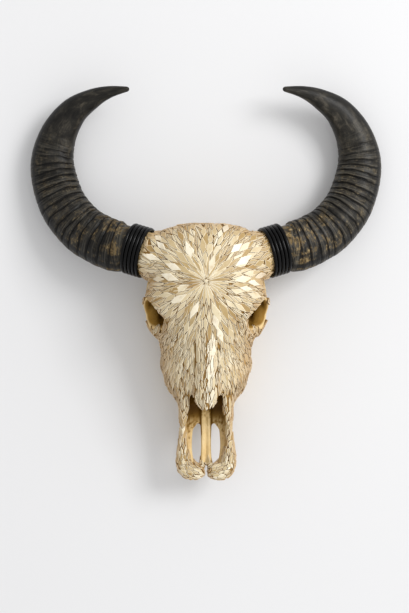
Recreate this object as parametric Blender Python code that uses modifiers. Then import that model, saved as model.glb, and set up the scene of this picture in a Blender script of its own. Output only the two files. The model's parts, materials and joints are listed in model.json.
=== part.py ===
"""A water buffalo skull covered in a mosaic of bone chips, with its two horns bound on by cord.

The skull lies face up. X runs across it, +Y points to the poll, +Z is up, and the origin is on
the floor under the middle of the whole thing. Every size is in metres.
"""
import math
from bisect import bisect_right

import bmesh
import bpy
from mathutils import Matrix, Vector
from mathutils.bvhtree import BVHTree

GAP = 0.0003

# Where the skull and a horn meet, under the middle of the binding, and the way the horn leaves
JOINT = Vector((0.130, 0.0602, 0.112))
HORN_AXIS = Vector((0.919, 0.285, -0.272)).normalized()
BASE_HALF_WIDTH = 0.0415
BASE_HALF_DEPTH = 0.0375

# The horn core inwards from the joint: distance, and how much wider it is than the horn's base
STUB_STATIONS = (
    (-0.0060, -0.0012),
    (0.0080, -0.0012),
    (0.0225, -0.0012),
    (0.0255, 0.0030),
    (0.0430, 0.0064),
    (0.0620, 0.0095),
    (0.0800, 0.0100),
)

# The horn after its straight base: x, y, z, half width in plan, half depth
HORN_STATIONS = (
    (0.1646, 0.0676, 0.1014, 0.0477, 0.0400),
    (0.1828, 0.0725, 0.0945, 0.0486, 0.0405),
    (0.2087, 0.0837, 0.0835, 0.0480, 0.0400),
    (0.2450, 0.1080, 0.0650, 0.0472, 0.0390),
    (0.2830, 0.1570, 0.0440, 0.0460, 0.0370),
    (0.3030, 0.2266, 0.0335, 0.0430, 0.0340),
    (0.2930, 0.2853, 0.0385, 0.0368, 0.0290),
    (0.2630, 0.3320, 0.0510, 0.0285, 0.0230),
    (0.2240, 0.3570, 0.0660, 0.0200, 0.0165),
    (0.1880, 0.3695, 0.0780, 0.0118, 0.0105),
    (0.1480, 0.3740, 0.0890, 0.0042, 0.0040),
)
STRAIGHT_BASE = 0.022
HORN_SIDES = 16
HORN_RIDGES = 17
HORN_RIDGED_SHARE = 0.60
RIDGE_HEIGHT = 0.0013
SMOOTH_RINGS = 11
TIP_ROUNDING = 0.0055
OUTER_EDGE_THINNING = 0.20

# The cord binding
CORD_RADIUS = 0.0036
CORD_TURNS = 5
CORD_STEPS_PER_TURN = 16

# Cranium and face along Y: y, half width, z of the widest level, z of top and bottom,
# and the squareness of the upper and the lower half of the section
HEAD_STATIONS = (
    (0.1085, 0.034, 0.142, 0.152, 0.128, 2.2, 2.0),
    (0.1030, 0.064, 0.134, 0.163, 0.108, 2.4, 2.0),
    (0.0930, 0.086, 0.128, 0.174, 0.092, 2.4, 1.9),
    (0.0740, 0.102, 0.124, 0.186, 0.078, 2.4, 1.8),
    (0.0450, 0.109, 0.122, 0.196, 0.068, 2.3, 1.7),
    (0.0100, 0.105, 0.126, 0.201, 0.062, 2.2, 1.6),
    (-0.0200, 0.112, 0.128, 0.199, 0.058, 2.1, 1.6),
    (-0.0550, 0.110, 0.120, 0.193, 0.052, 1.9, 1.7),
    (-0.0900, 0.0965, 0.108, 0.182, 0.036, 1.75, 2.0),
    (-0.1250, 0.0855, 0.095, 0.171, 0.028, 1.7, 2.3),
    (-0.1700, 0.0820, 0.088, 0.159, 0.026, 1.7, 2.4),
    (-0.2000, 0.0750, 0.086, 0.148, 0.028, 1.7, 2.5),
    (-0.2200, 0.0615, 0.086, 0.132, 0.036, 1.7, 2.6),
    (-0.2350, 0.0505, 0.086, 0.112, 0.050, 1.8, 2.4),
)

# Nasal bones: y, half width, z of the middle, half depth
NASAL_STATIONS = (
    (-0.0600, 0.014, 0.176, 0.012),
    (-0.1000, 0.019, 0.168, 0.014),
    (-0.1500, 0.021, 0.157, 0.015),
    (-0.1950, 0.024, 0.147, 0.014),
    (-0.2150, 0.024, 0.142, 0.013),
    (-0.2290, 0.019, 0.140, 0.011),
    (-0.2370, 0.012, 0.139, 0.009),
    (-0.2420, 0.004, 0.139, 0.006),
)
NASAL_SQUARENESS = 1.7

# Bones built as bars on the +X side: x, y, z, half width in plan, half depth
PREMAXILLA_BAR = (
    (0.0480, -0.1900, 0.0980, 0.0160, 0.018),
    (0.0405, -0.2260, 0.1020, 0.0110, 0.024),
    (0.0412, -0.2480, 0.0970, 0.0092, 0.022),
    (0.0442, -0.2700, 0.0900, 0.0064, 0.020),
    (0.0448, -0.3050, 0.0830, 0.0070, 0.015),
    (0.0444, -0.3300, 0.0800, 0.0106, 0.013),
    (0.0422, -0.3500, 0.0790, 0.0142, 0.012),
    (0.0350, -0.3630, 0.0790, 0.016, 0.012),
    (0.0180, -0.3650, 0.0790, 0.015, 0.011),
    (0.0080, -0.3600, 0.0780, 0.012, 0.010),
)
PALATE_STRIP = (
    (0.0055, -0.2300, 0.0740, 0.0055, 0.010),
    (0.0058, -0.2900, 0.0740, 0.0048, 0.007),
    (0.0062, -0.3300, 0.0740, 0.0044, 0.006),
    (0.0070, -0.3600, 0.0760, 0.0050, 0.006),
)
PALATE_SHELF = (
    (0.0310, -0.2200, 0.0680, 0.0240, 0.008),
    (0.0290, -0.2550, 0.0690, 0.0220, 0.007),
    (0.0300, -0.2740, 0.0690, 0.0190, 0.006),
    (0.0340, -0.2900, 0.0700, 0.0130, 0.006),
    (0.0340, -0.3050, 0.0700, 0.012, 0.006),
    (0.0340, -0.3400, 0.0730, 0.011, 0.007),
    (0.0300, -0.3600, 0.0750, 0.012, 0.008),
)
BROW_BAR = (
    (0.1080, -0.0250, 0.1290, 0.0050, 0.006),
    (0.1050, -0.0280, 0.1380, 0.0075, 0.007),
    (0.0975, -0.0345, 0.1465, 0.0090, 0.007),
    (0.0865, -0.0460, 0.1515, 0.0090, 0.007),
    (0.0745, -0.0600, 0.1520, 0.0090, 0.007),
    (0.0690, -0.0690, 0.1480, 0.0060, 0.006),
)
CHEEK_BAR = (
    (0.0840, -0.1000, 0.0960, 0.012, 0.014),
    (0.0980, -0.0800, 0.0950, 0.014, 0.013),
    (0.1030, -0.0500, 0.0940, 0.014, 0.011),
    (0.1070, -0.0200, 0.0960, 0.009, 0.011),
    (0.1040, 0.0120, 0.0990, 0.006, 0.010),
    (0.0940, 0.0380, 0.1020, 0.009, 0.011),
    (0.0740, 0.0520, 0.1040, 0.012, 0.012),
)
ALVEOLAR_RIDGE = (
    (0.0600, -0.0800, 0.0440, 0.013, 0.024),
    (0.0580, -0.1250, 0.0400, 0.017, 0.027),
    (0.0550, -0.1700, 0.0400, 0.017, 0.027),
    (0.0500, -0.2060, 0.0420, 0.014, 0.026),
    (0.0460, -0.2360, 0.0500, 0.010, 0.022),
    (0.0430, -0.2640, 0.0640, 0.007, 0.011),
)
EAR_PROCESS = (
    (0.0600, 0.0780, 0.1000, 0.020, 0.014),
    (0.0600, 0.0800, 0.0700, 0.016, 0.012),
    (0.0560, 0.0800, 0.0420, 0.010, 0.009),
    (0.0510, 0.0760, 0.0180, 0.005, 0.006),
)

# The bar along the middle of the palate
CENTRAL_BAR = (
    (0.0, -0.1900, 0.0780, 0.0085, 0.013),
    (0.0, -0.2350, 0.0765, 0.0090, 0.010),
    (0.0, -0.2600, 0.0735, 0.0088, 0.006),
    (0.0, -0.2780, 0.0730, 0.0080, 0.006),
    (0.0, -0.2950, 0.0720, 0.0060, 0.0040),
    (0.0, -0.3300, 0.0715, 0.0055, 0.0032),
    (0.0, -0.3540, 0.0740, 0.0050, 0.0030),
)

ORBIT_CENTRE = Vector((0.0930, -0.0580, 0.1260))
ORBIT_FACING = Vector((0.77, -0.44, 0.46)).normalized()
ORBIT_RADIUS = 0.0330
ORBIT_RIM = 0.0062

# Cheek teeth of one side, from the front: length of each along the row
TOOTH_LENGTHS = (0.017, 0.020, 0.020, 0.025, 0.028, 0.029)
TOOTH_ROW_FRONT = Vector((0.0465, -0.2340, 0.0))
TOOTH_ROW_BACK = Vector((0.0580, -0.0930, 0.0))
TOOTH_HALF_WIDTH = 0.0110
TOOTH_TOP = 0.034
TOOTH_SPARE = 0.002
TOOTH_GROOVE = 0.16
TOOTH_SIDES = 16

# The mosaic: lozenges in rings round one point of the forehead, each ring half a step round
STAR_CENTRE = Vector((0.0, 0.0006, 0.0))
RING_STEP = 0.027
RING_COUNT = 15
STAR_RAYS = 20
LOZENGE_WIDTH = 0.018
LOZENGE_FILL = 0.82
PLATE_RISE = 0.0020
PLATE_ROOT = 0.0040
PLATE_SCALES = (1.0, 0.7, 0.5)
STEEPEST = 0.15

COARSE_VOXEL = 0.0025
SKULL_TRIANGLES = 4500


def spline(rows, share):
    """The row of numbers at a share from 0 to 1 along a smooth curve through the rows."""
    place = share * (len(rows) - 1)
    first = min(int(place), len(rows) - 2)
    t = place - first
    before = rows[max(first - 1, 0)]
    start = rows[first]
    end = rows[first + 1]
    after = rows[min(first + 2, len(rows) - 1)]
    values = []
    for a, b, c, d in zip(before, start, end, after):
        slope_in = (c - a) / 2
        slope_out = (d - b) / 2
        values.append(b + t * (slope_in + t * (3 * (c - b) - 2 * slope_in - slope_out
                                               + t * (2 * (b - c) + slope_in + slope_out))))
    return values


def power(value, exponent):
    """A power that keeps the sign of its base."""
    return math.copysign(abs(value) ** exponent, value)


def wrap_grid(bm, rings, sides, place):
    """Roll a grid into a closed skin: place(along, around) gives each point, both from 0 to 1."""
    grid = bmesh.ops.create_grid(bm, x_segments=rings, y_segments=sides, size=0.5)["verts"]
    for vert in grid:
        vert.co = place(vert.co.x + 0.5, vert.co.y + 0.5)
    bmesh.ops.remove_doubles(bm, verts=grid, dist=1e-6)
    kept = [vert for vert in grid if vert.is_valid]
    rims = {edge for vert in kept for edge in vert.link_edges if edge.is_boundary}
    bmesh.ops.holes_fill(bm, edges=list(rims), sides=0)
    faces = {face for vert in kept for face in vert.link_faces}
    bmesh.ops.recalc_face_normals(bm, faces=list(faces))


def add_bar(bm, stations, side, rings=24, sides=20, squareness=2.3):
    """A bone along stations of x, y, z, half width in plan and half depth."""
    step = 0.5 / rings

    def place(along, around):
        x, y, z, width, depth = spline(stations, along)
        ahead = Vector(spline(stations, min(along + step, 1.0))[:3])
        behind = Vector(spline(stations, max(along - step, 0.0))[:3])
        heading = (ahead - behind).normalized()
        upright = abs(heading.z) > 0.8
        across = heading.cross(Vector((0, 1, 0)) if upright else Vector((0, 0, 1))).normalized()
        lift = across.cross(heading)
        end = min(along, 1 - along)
        rounding = min(1.0, math.sqrt(end * rings / 2) + 0.35)
        turn = around * math.tau
        point = Vector((x, y, z))
        point += across * width * rounding * power(math.cos(turn), 2 / squareness)
        point += lift * depth * rounding * power(math.sin(turn), 2 / squareness)
        return Vector((point.x * side, point.y, point.z))

    wrap_grid(bm, rings, sides, place)


def add_ball(bm, centre, radii, turn=None):
    """An ellipsoid."""
    matrix = Matrix.Translation(centre) @ (turn or Matrix()) @ Matrix.Diagonal((*radii, 1))
    bmesh.ops.create_icosphere(bm, subdivisions=3, radius=1.0, matrix=matrix)


def facing(direction):
    """The rotation that turns Z to a direction."""
    return direction.to_track_quat("Z", "Y").to_matrix().to_4x4()


def mirrored(vector, side):
    """A point or direction of the +X side taken to the given side."""
    return Vector((vector.x * side, vector.y, vector.z))


def new_object(name, bm, collection):
    """Turn a bmesh into an object in a collection."""
    mesh = bpy.data.meshes.new(name)
    bm.to_mesh(mesh)
    bm.free()
    obj = bpy.data.objects.new(name, mesh)
    collection.objects.link(obj)
    return obj


def set_material(obj, name, colour, roughness, coat=0.0):
    material = bpy.data.materials.new(name)
    material.use_nodes = True
    shader = material.node_tree.nodes["Principled BSDF"]
    shader.inputs["Base Color"].default_value = (*colour, 1.0)
    shader.inputs["Roughness"].default_value = roughness
    shader.inputs["Coat Weight"].default_value = coat
    obj.data.materials.clear()
    obj.data.materials.append(material)


def apply_modifiers(obj):
    """Keep the evaluated mesh in place of the modifiers."""
    graph = bpy.context.evaluated_depsgraph_get()
    mesh = bpy.data.meshes.new_from_object(obj.evaluated_get(graph))
    obj.modifiers.clear()
    obj.data = mesh


def remesh(obj, voxel):
    modifier = obj.modifiers.new("Remesh", "REMESH")
    modifier.mode = "VOXEL"
    modifier.voxel_size = voxel


def cut(obj, collection, operation="DIFFERENCE"):
    modifier = obj.modifiers.new("Boolean", "BOOLEAN")
    modifier.operation = operation
    modifier.operand_type = "COLLECTION"
    modifier.collection = collection
    modifier.solver = "MANIFOLD"


def empty_collection(collection):
    for obj in list(collection.objects):
        bpy.data.objects.remove(obj)


def add_operand(bm, collection):
    """A hidden shape that is cut from the skull, or joined to it, with the rest of its collection."""
    obj = new_object("operand", bm, collection)
    obj.hide_render = True
    obj.display_type = "WIRE"


def head_section(along, around):
    y, width, middle, top, bottom, top_power, bottom_power = spline(HEAD_STATIONS, along)
    turn = around * math.tau
    upper = math.sin(turn) >= 0
    squareness = top_power if upper else bottom_power
    height = (top - middle) if upper else (middle - bottom)
    x = width * power(math.cos(turn), 2 / squareness)
    return Vector((x, y, middle + height * power(math.sin(turn), 2 / squareness)))


def nasal_section(along, around):
    y, width, middle, depth = spline(NASAL_STATIONS, along)
    turn = around * math.tau
    x = width * power(math.cos(turn), 2 / NASAL_SQUARENESS)
    return Vector((x, y, middle + depth * power(math.sin(turn), 2 / NASAL_SQUARENESS)))


def build_block(collection):
    """The cranium, face, nasal bones and braincase, before anything is hollowed."""
    bm = bmesh.new()
    wrap_grid(bm, 64, 64, head_section)
    wrap_grid(bm, 40, 24, nasal_section)
    add_ball(bm, Vector((0, 0.040, 0.100)), (0.060, 0.062, 0.044))
    add_ball(bm, Vector((0, 0.084, 0.112)), (0.088, 0.024, 0.040))
    for side in (-1, 1):
        add_bar(bm, ALVEOLAR_RIDGE, side, squareness=2.4)
    return new_object("skull", bm, collection)


def add_orbit_cutters(cutters):
    for side in (-1, 1):
        facing_out = mirrored(ORBIT_FACING, side)
        socket = bmesh.new()
        centre = mirrored(ORBIT_CENTRE, side) - facing_out * 0.006
        add_ball(socket, centre, (0.0285, 0.0285, 0.046), facing(facing_out))
        add_operand(socket, cutters)
        mouth = bmesh.new()
        centre = mirrored(ORBIT_CENTRE, side) + facing_out * 0.033
        matrix = Matrix.Translation(centre) @ facing(facing_out)
        bmesh.ops.create_cone(mouth, cap_ends=True, segments=48, radius1=0.036,
                              radius2=0.060, depth=0.060, matrix=matrix)
        add_operand(mouth, cutters)


def add_hollow_cutters(cutters):
    """Nasal cavity, temporal hollows, throat, and seats for the bindings."""
    nose = bmesh.new()
    cavity = ((0.0, -0.2900, 0.1050, 0.037, 0.034), (0.0, -0.2400, 0.1060, 0.034, 0.033),
              (0.0, -0.2000, 0.1060, 0.029, 0.031), (0.0, -0.1500, 0.1050, 0.022, 0.026),
              (0.0, -0.1150, 0.1020, 0.014, 0.018))
    add_bar(nose, cavity, 1, squareness=2.6)
    add_operand(nose, cutters)
    throat = bmesh.new()
    passage = ((0.0, -0.0250, 0.0480, 0.024, 0.022), (0.0, -0.0550, 0.0640, 0.021, 0.022),
               (0.0, -0.0880, 0.0740, 0.017, 0.016))
    add_bar(throat, passage, 1, squareness=2.6)
    add_operand(throat, cutters)
    palate = bmesh.new()
    arch = ((0.0, -0.2900, 0.0120, 0.036, 0.038), (0.0, -0.2200, 0.0120, 0.035, 0.038),
            (0.0, -0.1500, 0.0100, 0.037, 0.038), (0.0, -0.0900, 0.0080, 0.039, 0.038),
            (0.0, -0.0500, 0.0040, 0.040, 0.038))
    add_bar(palate, arch, 1, squareness=2.8)
    add_operand(palate, cutters)
    for side in (-1, 1):
        nape = bmesh.new()
        add_ball(nape, Vector((side * 0.040, 0.1260, 0.1180)), (0.044, 0.030, 0.028))
        add_operand(nape, cutters)
        temple = bmesh.new()
        add_ball(temple, Vector((side * 0.1030, 0.0080, 0.0960)), (0.040, 0.043, 0.040))
        add_operand(temple, cutters)
        jaw_space = bmesh.new()
        add_ball(jaw_space, Vector((side * 0.0880, -0.0300, 0.0440)), (0.038, 0.056, 0.034))
        add_operand(jaw_space, cutters)
        seat = bmesh.new()
        axis = mirrored(HORN_AXIS, side)
        middle = mirrored(JOINT, side) + axis * 0.018
        matrix = Matrix.Translation(middle) @ facing(axis)
        bmesh.ops.create_cone(seat, cap_ends=True, segments=64, radius1=0.062,
                              radius2=0.062, depth=0.080, matrix=matrix)
        add_operand(seat, cutters)


def horn_frame(heading):
    """Directions across the horn: outwards in plan, and up."""
    across = heading.cross(Vector((0, 0, 1))).normalized()
    return across, across.cross(heading)


def horn_section(point, heading, width, depth, turn, scale=1.0):
    """A point on the horn's section, which is thinner towards its outer edge."""
    across, lift = horn_frame(heading)
    c = math.cos(turn)
    s = math.sin(turn)
    thin = 1 - OUTER_EDGE_THINNING * max(c, 0) ** 2
    offset = across * width * power(c, 2 / 2.2) + lift * depth * thin * power(s, 2 / 2.2)
    return point + offset * scale


def add_stub(bm, side):
    """The horn core: it narrows under the binding and swells behind it into the head."""

    def place(along, around):
        distance, swelling = spline(STUB_STATIONS, along)
        point = JOINT - HORN_AXIS * distance
        width = BASE_HALF_WIDTH + swelling
        depth = BASE_HALF_DEPTH + swelling
        return mirrored(horn_section(point, HORN_AXIS, width, depth, around * math.tau), side)

    wrap_grid(bm, 40, 48, place)


def add_rim(bm, side):
    """The raised rim of an orbit."""
    across = facing(mirrored(ORBIT_FACING, side)).to_3x3()
    centre = mirrored(ORBIT_CENTRE, side)

    def place(along, around):
        spin = along * math.tau
        out = across @ Vector((math.cos(spin), math.sin(spin), 0))
        turn = around * math.tau
        ring = centre + out * ORBIT_RADIUS
        up = across @ Vector((0, 0, 1))
        return ring + out * math.cos(turn) * ORBIT_RIM + up * math.sin(turn) * ORBIT_RIM * 1.2

    wrap_grid(bm, 48, 14, place)


def build_bars():
    """Thin bones that stand clear of the block: they join it after the hollows are cut."""
    bm = bmesh.new()
    for side in (-1, 1):
        for stations in (PREMAXILLA_BAR, PALATE_STRIP, PALATE_SHELF, BROW_BAR, CHEEK_BAR,
                         EAR_PROCESS):
            add_bar(bm, stations, side, rings=32)
        add_stub(bm, side)
        add_rim(bm, side)
        condyle = Vector((side * 0.027, 0.092, 0.072))
        add_ball(bm, condyle, (0.019, 0.022, 0.026))
        add_ball(bm, Vector((side * 0.042, 0.040, 0.066)), (0.015, 0.026, 0.020))
    add_bar(bm, CENTRAL_BAR, 1)
    add_ball(bm, Vector((0, 0.050, 0.066)), (0.022, 0.056, 0.018))
    return bm


def add_fissure_cutters(cutters):
    """Openings in the front of the palate and beside the nasals, and the spinal cord's hole."""
    for side in (-1, 1):
        notch = bmesh.new()
        wedge = ((side * 0.0262, -0.2080, 0.1300, 0.0010, 0.020),
                 (side * 0.0275, -0.2180, 0.1280, 0.0030, 0.022),
                 (side * 0.0270, -0.2300, 0.1260, 0.0060, 0.024),
                 (side * 0.0260, -0.2450, 0.1240, 0.0070, 0.024))
        add_bar(notch, wedge, 1, squareness=2.6)
        add_operand(notch, cutters)
        slot = bmesh.new()
        opening = ((side * 0.0140, -0.2740, 0.0700, 0.0030, 0.030),
                   (side * 0.0165, -0.2840, 0.0700, 0.0065, 0.030),
                   (side * 0.0180, -0.2900, 0.0700, 0.0080, 0.030),
                   (side * 0.0185, -0.3200, 0.0700, 0.009, 0.030),
                   (side * 0.0175, -0.3500, 0.0700, 0.006, 0.030))
        add_bar(slot, opening, 1, squareness=2.6)
        add_operand(slot, cutters)
    cord_hole = bmesh.new()
    add_ball(cord_hole, Vector((0, 0.104, 0.088)), (0.018, 0.036, 0.016))
    add_operand(cord_hole, cutters)


def largest_surface(bm):
    """Drop every closed surface but the largest."""
    left = set(bm.verts)
    groups = []
    while left:
        front = [left.pop()]
        group = []
        while front:
            vert = front.pop()
            group.append(vert)
            for edge in vert.link_edges:
                other = edge.other_vert(vert)
                if other in left:
                    left.remove(other)
                    front.append(other)
        groups.append(group)
    groups.sort(key=len)
    for group in groups[:-1]:
        bmesh.ops.delete(bm, geom=group, context="VERTS")


def cut_flat(bm, point, normal):
    """Cut away all that lies beyond a plane and close the cut."""
    geometry = bm.verts[:] + bm.edges[:] + bm.faces[:]
    result = bmesh.ops.bisect_plane(bm, geom=geometry, dist=1e-5, plane_co=point,
                                    plane_no=normal, clear_outer=True)
    rim = [item for item in result["geom_cut"] if isinstance(item, bmesh.types.BMEdge)]
    bmesh.ops.holes_fill(bm, edges=rim, sides=0)


def add_tooth(bm, side, middle, heading, length):
    """One cheek tooth: two rounded lobes on each face, a little narrower at the crown."""
    across = Vector((heading.y, -heading.x, 0))

    def place(along, around):
        turn = around * math.tau
        lobes = 1 - TOOTH_GROOVE * math.cos(2 * turn - math.pi) ** 2 * abs(math.sin(turn))
        half_length = length * 0.51 * power(math.cos(turn), 0.42)
        half_width = TOOTH_HALF_WIDTH * power(math.sin(turn), 0.42) * lobes
        z = TOOTH_TOP * (1 - along) - TOOTH_SPARE * along
        point = middle + (heading * half_length + across * half_width) * (1 - 0.03 * along)
        return mirrored(Vector((point.x, point.y, z)), side)

    wrap_grid(bm, 1, TOOTH_SIDES, place)


def add_teeth(teeth):
    heading = (TOOTH_ROW_BACK - TOOTH_ROW_FRONT).normalized()
    for side in (-1, 1):
        start = 0.0
        for length in TOOTH_LENGTHS:
            bm = bmesh.new()
            middle = TOOTH_ROW_FRONT + heading * (start + length / 2)
            add_tooth(bm, side, middle, heading, length)
            add_operand(bm, teeth)
            start += length


def is_tiled(point):
    """Whether a point of the skull carries mosaic, and isn't bare bone or under a binding."""
    mirror = Vector((abs(point.x), point.y, point.z))
    if (mirror - JOINT).dot(HORN_AXIS) > -0.027:
        return False
    if mirror.y < -0.236 and mirror.x < 0.032:
        return False
    from_orbit = mirror - ORBIT_CENTRE
    beside = from_orbit - ORBIT_FACING * from_orbit.dot(ORBIT_FACING)
    if beside.length < ORBIT_RADIUS + 0.003:
        return False
    return mirror.z > 0.055


def plate_corners(tree, point, normal, along, half_length, half_width):
    """The four corners of a lozenge laid on the skull, or nothing where it would hang over."""
    across = normal.cross(along).normalized()
    ahead = across.cross(normal).normalized()
    corners = []
    for step in (ahead * half_length, across * half_width, -ahead * half_length,
                 -across * half_width):
        corner, corner_normal, _, distance = tree.find_nearest(point + step)
        if distance > 0.3 * step.length or corner_normal.dot(normal) < 0.5:
            return None
        if not is_tiled(corner):
            return None
        corners.append((corner, corner_normal))
    return corners


def add_plate(plates, corners):
    """A thin slab on four corners, folded across its middle, with its root sunk in the bone."""
    bm = bmesh.new()
    lid = bmesh.ops.create_circle(bm, cap_ends=True, segments=4, radius=1.0)["verts"]
    bmesh.ops.connect_verts(bm, verts=[lid[1], lid[3]])
    sunk = bmesh.ops.extrude_face_region(bm, geom=bm.faces[:])["geom"]
    sunk = [item for item in sunk if isinstance(item, bmesh.types.BMVert)]
    root_of = {vert: min(sunk, key=lambda other: (other.co - vert.co).length) for vert in lid}
    for vert, (corner, normal) in zip(lid, corners):
        vert.co = corner + normal * PLATE_RISE
        root_of[vert].co = corner - normal * PLATE_ROOT
    bmesh.ops.recalc_face_normals(bm, faces=bm.faces)
    add_operand(bm, plates)


def add_mosaic(skull, plates):
    """Lozenges that point away from the star's centre, in rings that interlock."""
    bm = bmesh.new()
    bm.from_mesh(skull.data)
    tree = BVHTree.FromBMesh(bm)
    bm.free()
    rays = STAR_RAYS
    for ring in range(RING_COUNT):
        radius = RING_STEP * (ring + 1)
        while math.tau * radius / rays > 1.45 * LOZENGE_WIDTH:
            rays *= 2
        width = math.tau * radius / rays
        for ray in range(rays):
            turn = (ray + 0.5 * (ring % 2)) / rays * math.tau
            along = Vector((math.sin(turn), -math.cos(turn), 0))
            spot = STAR_CENTRE + along * radius
            top = Vector((spot.x, spot.y, 0.5))
            point, normal, _, _ = tree.ray_cast(top, Vector((0, 0, -1)))
            if point is None or normal.z < STEEPEST or not is_tiled(point):
                continue
            for scale in PLATE_SCALES:
                half_length = RING_STEP * LOZENGE_FILL * scale
                half_width = width / 2 * LOZENGE_FILL * scale
                corners = plate_corners(tree, point, normal, along, half_length, half_width)
                if corners:
                    add_plate(plates, corners)
                    break


def build_skull(collection, cutters):
    skull = build_block(collection)
    remesh(skull, COARSE_VOXEL)
    add_orbit_cutters(cutters)
    add_hollow_cutters(cutters)
    cut(skull, cutters)
    apply_modifiers(skull)
    empty_collection(cutters)

    joined = build_bars()
    joined.from_mesh(skull.data)
    joined.to_mesh(skull.data)
    joined.free()
    remesh(skull, COARSE_VOXEL)
    add_fissure_cutters(cutters)
    cut(skull, cutters)
    remesh(skull, COARSE_VOXEL)
    apply_modifiers(skull)
    empty_collection(cutters)

    smooth = skull.modifiers.new("Smooth", "SMOOTH")
    smooth.iterations = 2
    thin_out = skull.modifiers.new("Decimate", "DECIMATE")
    thin_out.ratio = SKULL_TRIANGLES / (2 * len(skull.data.polygons))
    apply_modifiers(skull)

    add_mosaic(skull, cutters)
    add_teeth(cutters)
    cut(skull, cutters, "UNION")
    apply_modifiers(skull)
    empty_collection(cutters)

    bm = bmesh.new()
    bm.from_mesh(skull.data)
    cut_flat(bm, Vector((0, 0, 0)), Vector((0, 0, -1)))
    for side in (-1, 1):
        axis = mirrored(HORN_AXIS, side)
        cut_flat(bm, mirrored(JOINT, side) - axis * GAP, axis)
    largest_surface(bm)
    bm.to_mesh(skull.data)
    bm.free()
    set_material(skull, "bone mosaic", (0.80, 0.70, 0.50), 0.6)


def horn_rows():
    """The horn's stations, with its straight base under the binding."""
    end = JOINT + HORN_AXIS * STRAIGHT_BASE
    base = ((*JOINT, BASE_HALF_WIDTH, BASE_HALF_DEPTH), (*end, BASE_HALF_WIDTH, BASE_HALF_DEPTH))
    return base + HORN_STATIONS


def horn_line(rows):
    """Even steps along the horn, from the spline through its stations."""
    steps = 40 * (len(rows) - 1)
    samples = [spline(rows, step / steps) for step in range(steps + 1)]
    lengths = [0.0]
    for last, row in zip(samples, samples[1:]):
        lengths.append(lengths[-1] + (Vector(row[:3]) - Vector(last[:3])).length)
    return samples, lengths


def at_length(samples, lengths, length):
    """The row of numbers at a length along the horn."""
    index = min(max(bisect_right(lengths, length), 1), len(lengths) - 1)
    share = (length - lengths[index - 1]) / (lengths[index] - lengths[index - 1])
    return [a + (b - a) * share for a, b in zip(samples[index - 1], samples[index])]


def horn_rings(total):
    """The length of each ring of points along the horn, and how far it swells or sinks."""
    ridged = total * HORN_RIDGED_SHARE
    pitch = (ridged - STRAIGHT_BASE) / HORN_RIDGES
    rings = [(0.0, 0.0), (STRAIGHT_BASE, 0.0)]
    for ridge in range(1, HORN_RIDGES):
        start = STRAIGHT_BASE + pitch * ridge
        fade = min(1.0, 2.0 * (1 - ridge / HORN_RIDGES))
        rings.append((start, -fade))
        rings.append((start + 0.6 * pitch, fade))
    for ring in range(SMOOTH_RINGS):
        rings.append((ridged + (total - ridged) * ring / SMOOTH_RINGS, 0.0))
    for left in (TIP_ROUNDING, 0.0024, 0.0007, 0.0):
        rings.append((total - left, 0.0))
    return rings


def build_horn(name, side, collection):
    samples, lengths = horn_line(horn_rows())
    total = lengths[-1]
    rings = horn_rings(total)
    bm = bmesh.new()

    def place(along, around):
        length, swelling = rings[round(along * (len(rings) - 1))]
        if length <= STRAIGHT_BASE:
            point = JOINT + HORN_AXIS * length
            heading = HORN_AXIS
            width = BASE_HALF_WIDTH
            depth = BASE_HALF_DEPTH
        else:
            x, y, z, width, depth = at_length(samples, lengths, length)
            point = Vector((x, y, z))
            ahead = Vector(at_length(samples, lengths, min(length + 0.004, total))[:3])
            behind = Vector(at_length(samples, lengths, length - 0.004)[:3])
            heading = (ahead - behind).normalized()
        left = min(1.0, (total - length) / TIP_ROUNDING)
        rounding = max(0.25, math.sqrt(1 - (1 - left) ** 2))
        scale = rounding * (1 + swelling * RIDGE_HEIGHT / width)
        point = horn_section(point, heading, width, depth, around * math.tau, scale)
        point.z = max(point.z, 0.0)
        return mirrored(point, side)

    wrap_grid(bm, len(rings) - 1, HORN_SIDES, place)
    horn = new_object(name, bm, collection)
    horn.data.shade_smooth()
    set_material(horn, "dark horn", (0.035, 0.030, 0.027), 0.5)


def build_binding(name, side, collection):
    """A cord wound round the joint, each turn against the next."""
    curve = bpy.data.curves.new(name, "CURVE")
    curve.dimensions = "3D"
    curve.bevel_depth = CORD_RADIUS
    curve.bevel_resolution = 2
    curve.use_fill_caps = True
    steps = CORD_TURNS * CORD_STEPS_PER_TURN
    route = curve.splines.new("POLY")
    route.points.add(steps)
    pitch = 2 * CORD_RADIUS + GAP
    reach = CORD_RADIUS + GAP * 2
    for step in range(steps + 1):
        turns = step / CORD_STEPS_PER_TURN
        centre = JOINT + HORN_AXIS * pitch * (turns - CORD_TURNS / 2)
        point = horn_section(centre, HORN_AXIS, BASE_HALF_WIDTH + reach, BASE_HALF_DEPTH + reach,
                             (turns - 0.25) * math.tau)
        route.points[step].co = (*mirrored(point, side), 1.0)
    tube = bpy.data.objects.new(name, curve)
    collection.objects.link(tube)
    graph = bpy.context.evaluated_depsgraph_get()
    bm = bmesh.new()
    mesh = bpy.data.meshes.new_from_object(tube.evaluated_get(graph))
    bm.from_mesh(mesh)
    bpy.data.objects.remove(tube)
    bmesh.ops.remove_doubles(bm, verts=bm.verts, dist=1e-5)
    bmesh.ops.recalc_face_normals(bm, faces=bm.faces)
    binding = new_object(name, bm, collection)
    binding.data.shade_smooth()
    set_material(binding, "black cord", (0.012, 0.012, 0.013), 0.3, coat=0.3)


def build():
    for obj in list(bpy.data.objects):
        bpy.data.objects.remove(obj)
    parts = bpy.data.collections.new("buffalo skull")
    cutters = bpy.data.collections.new("cutters")
    bpy.context.scene.collection.children.link(parts)
    bpy.context.scene.collection.children.link(cutters)
    build_skull(parts, cutters)
    for name, side in (("left", -1), ("right", 1)):
        build_horn("horn_" + name, side, parts)
        build_binding("binding_" + name, side, parts)


build()
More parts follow.
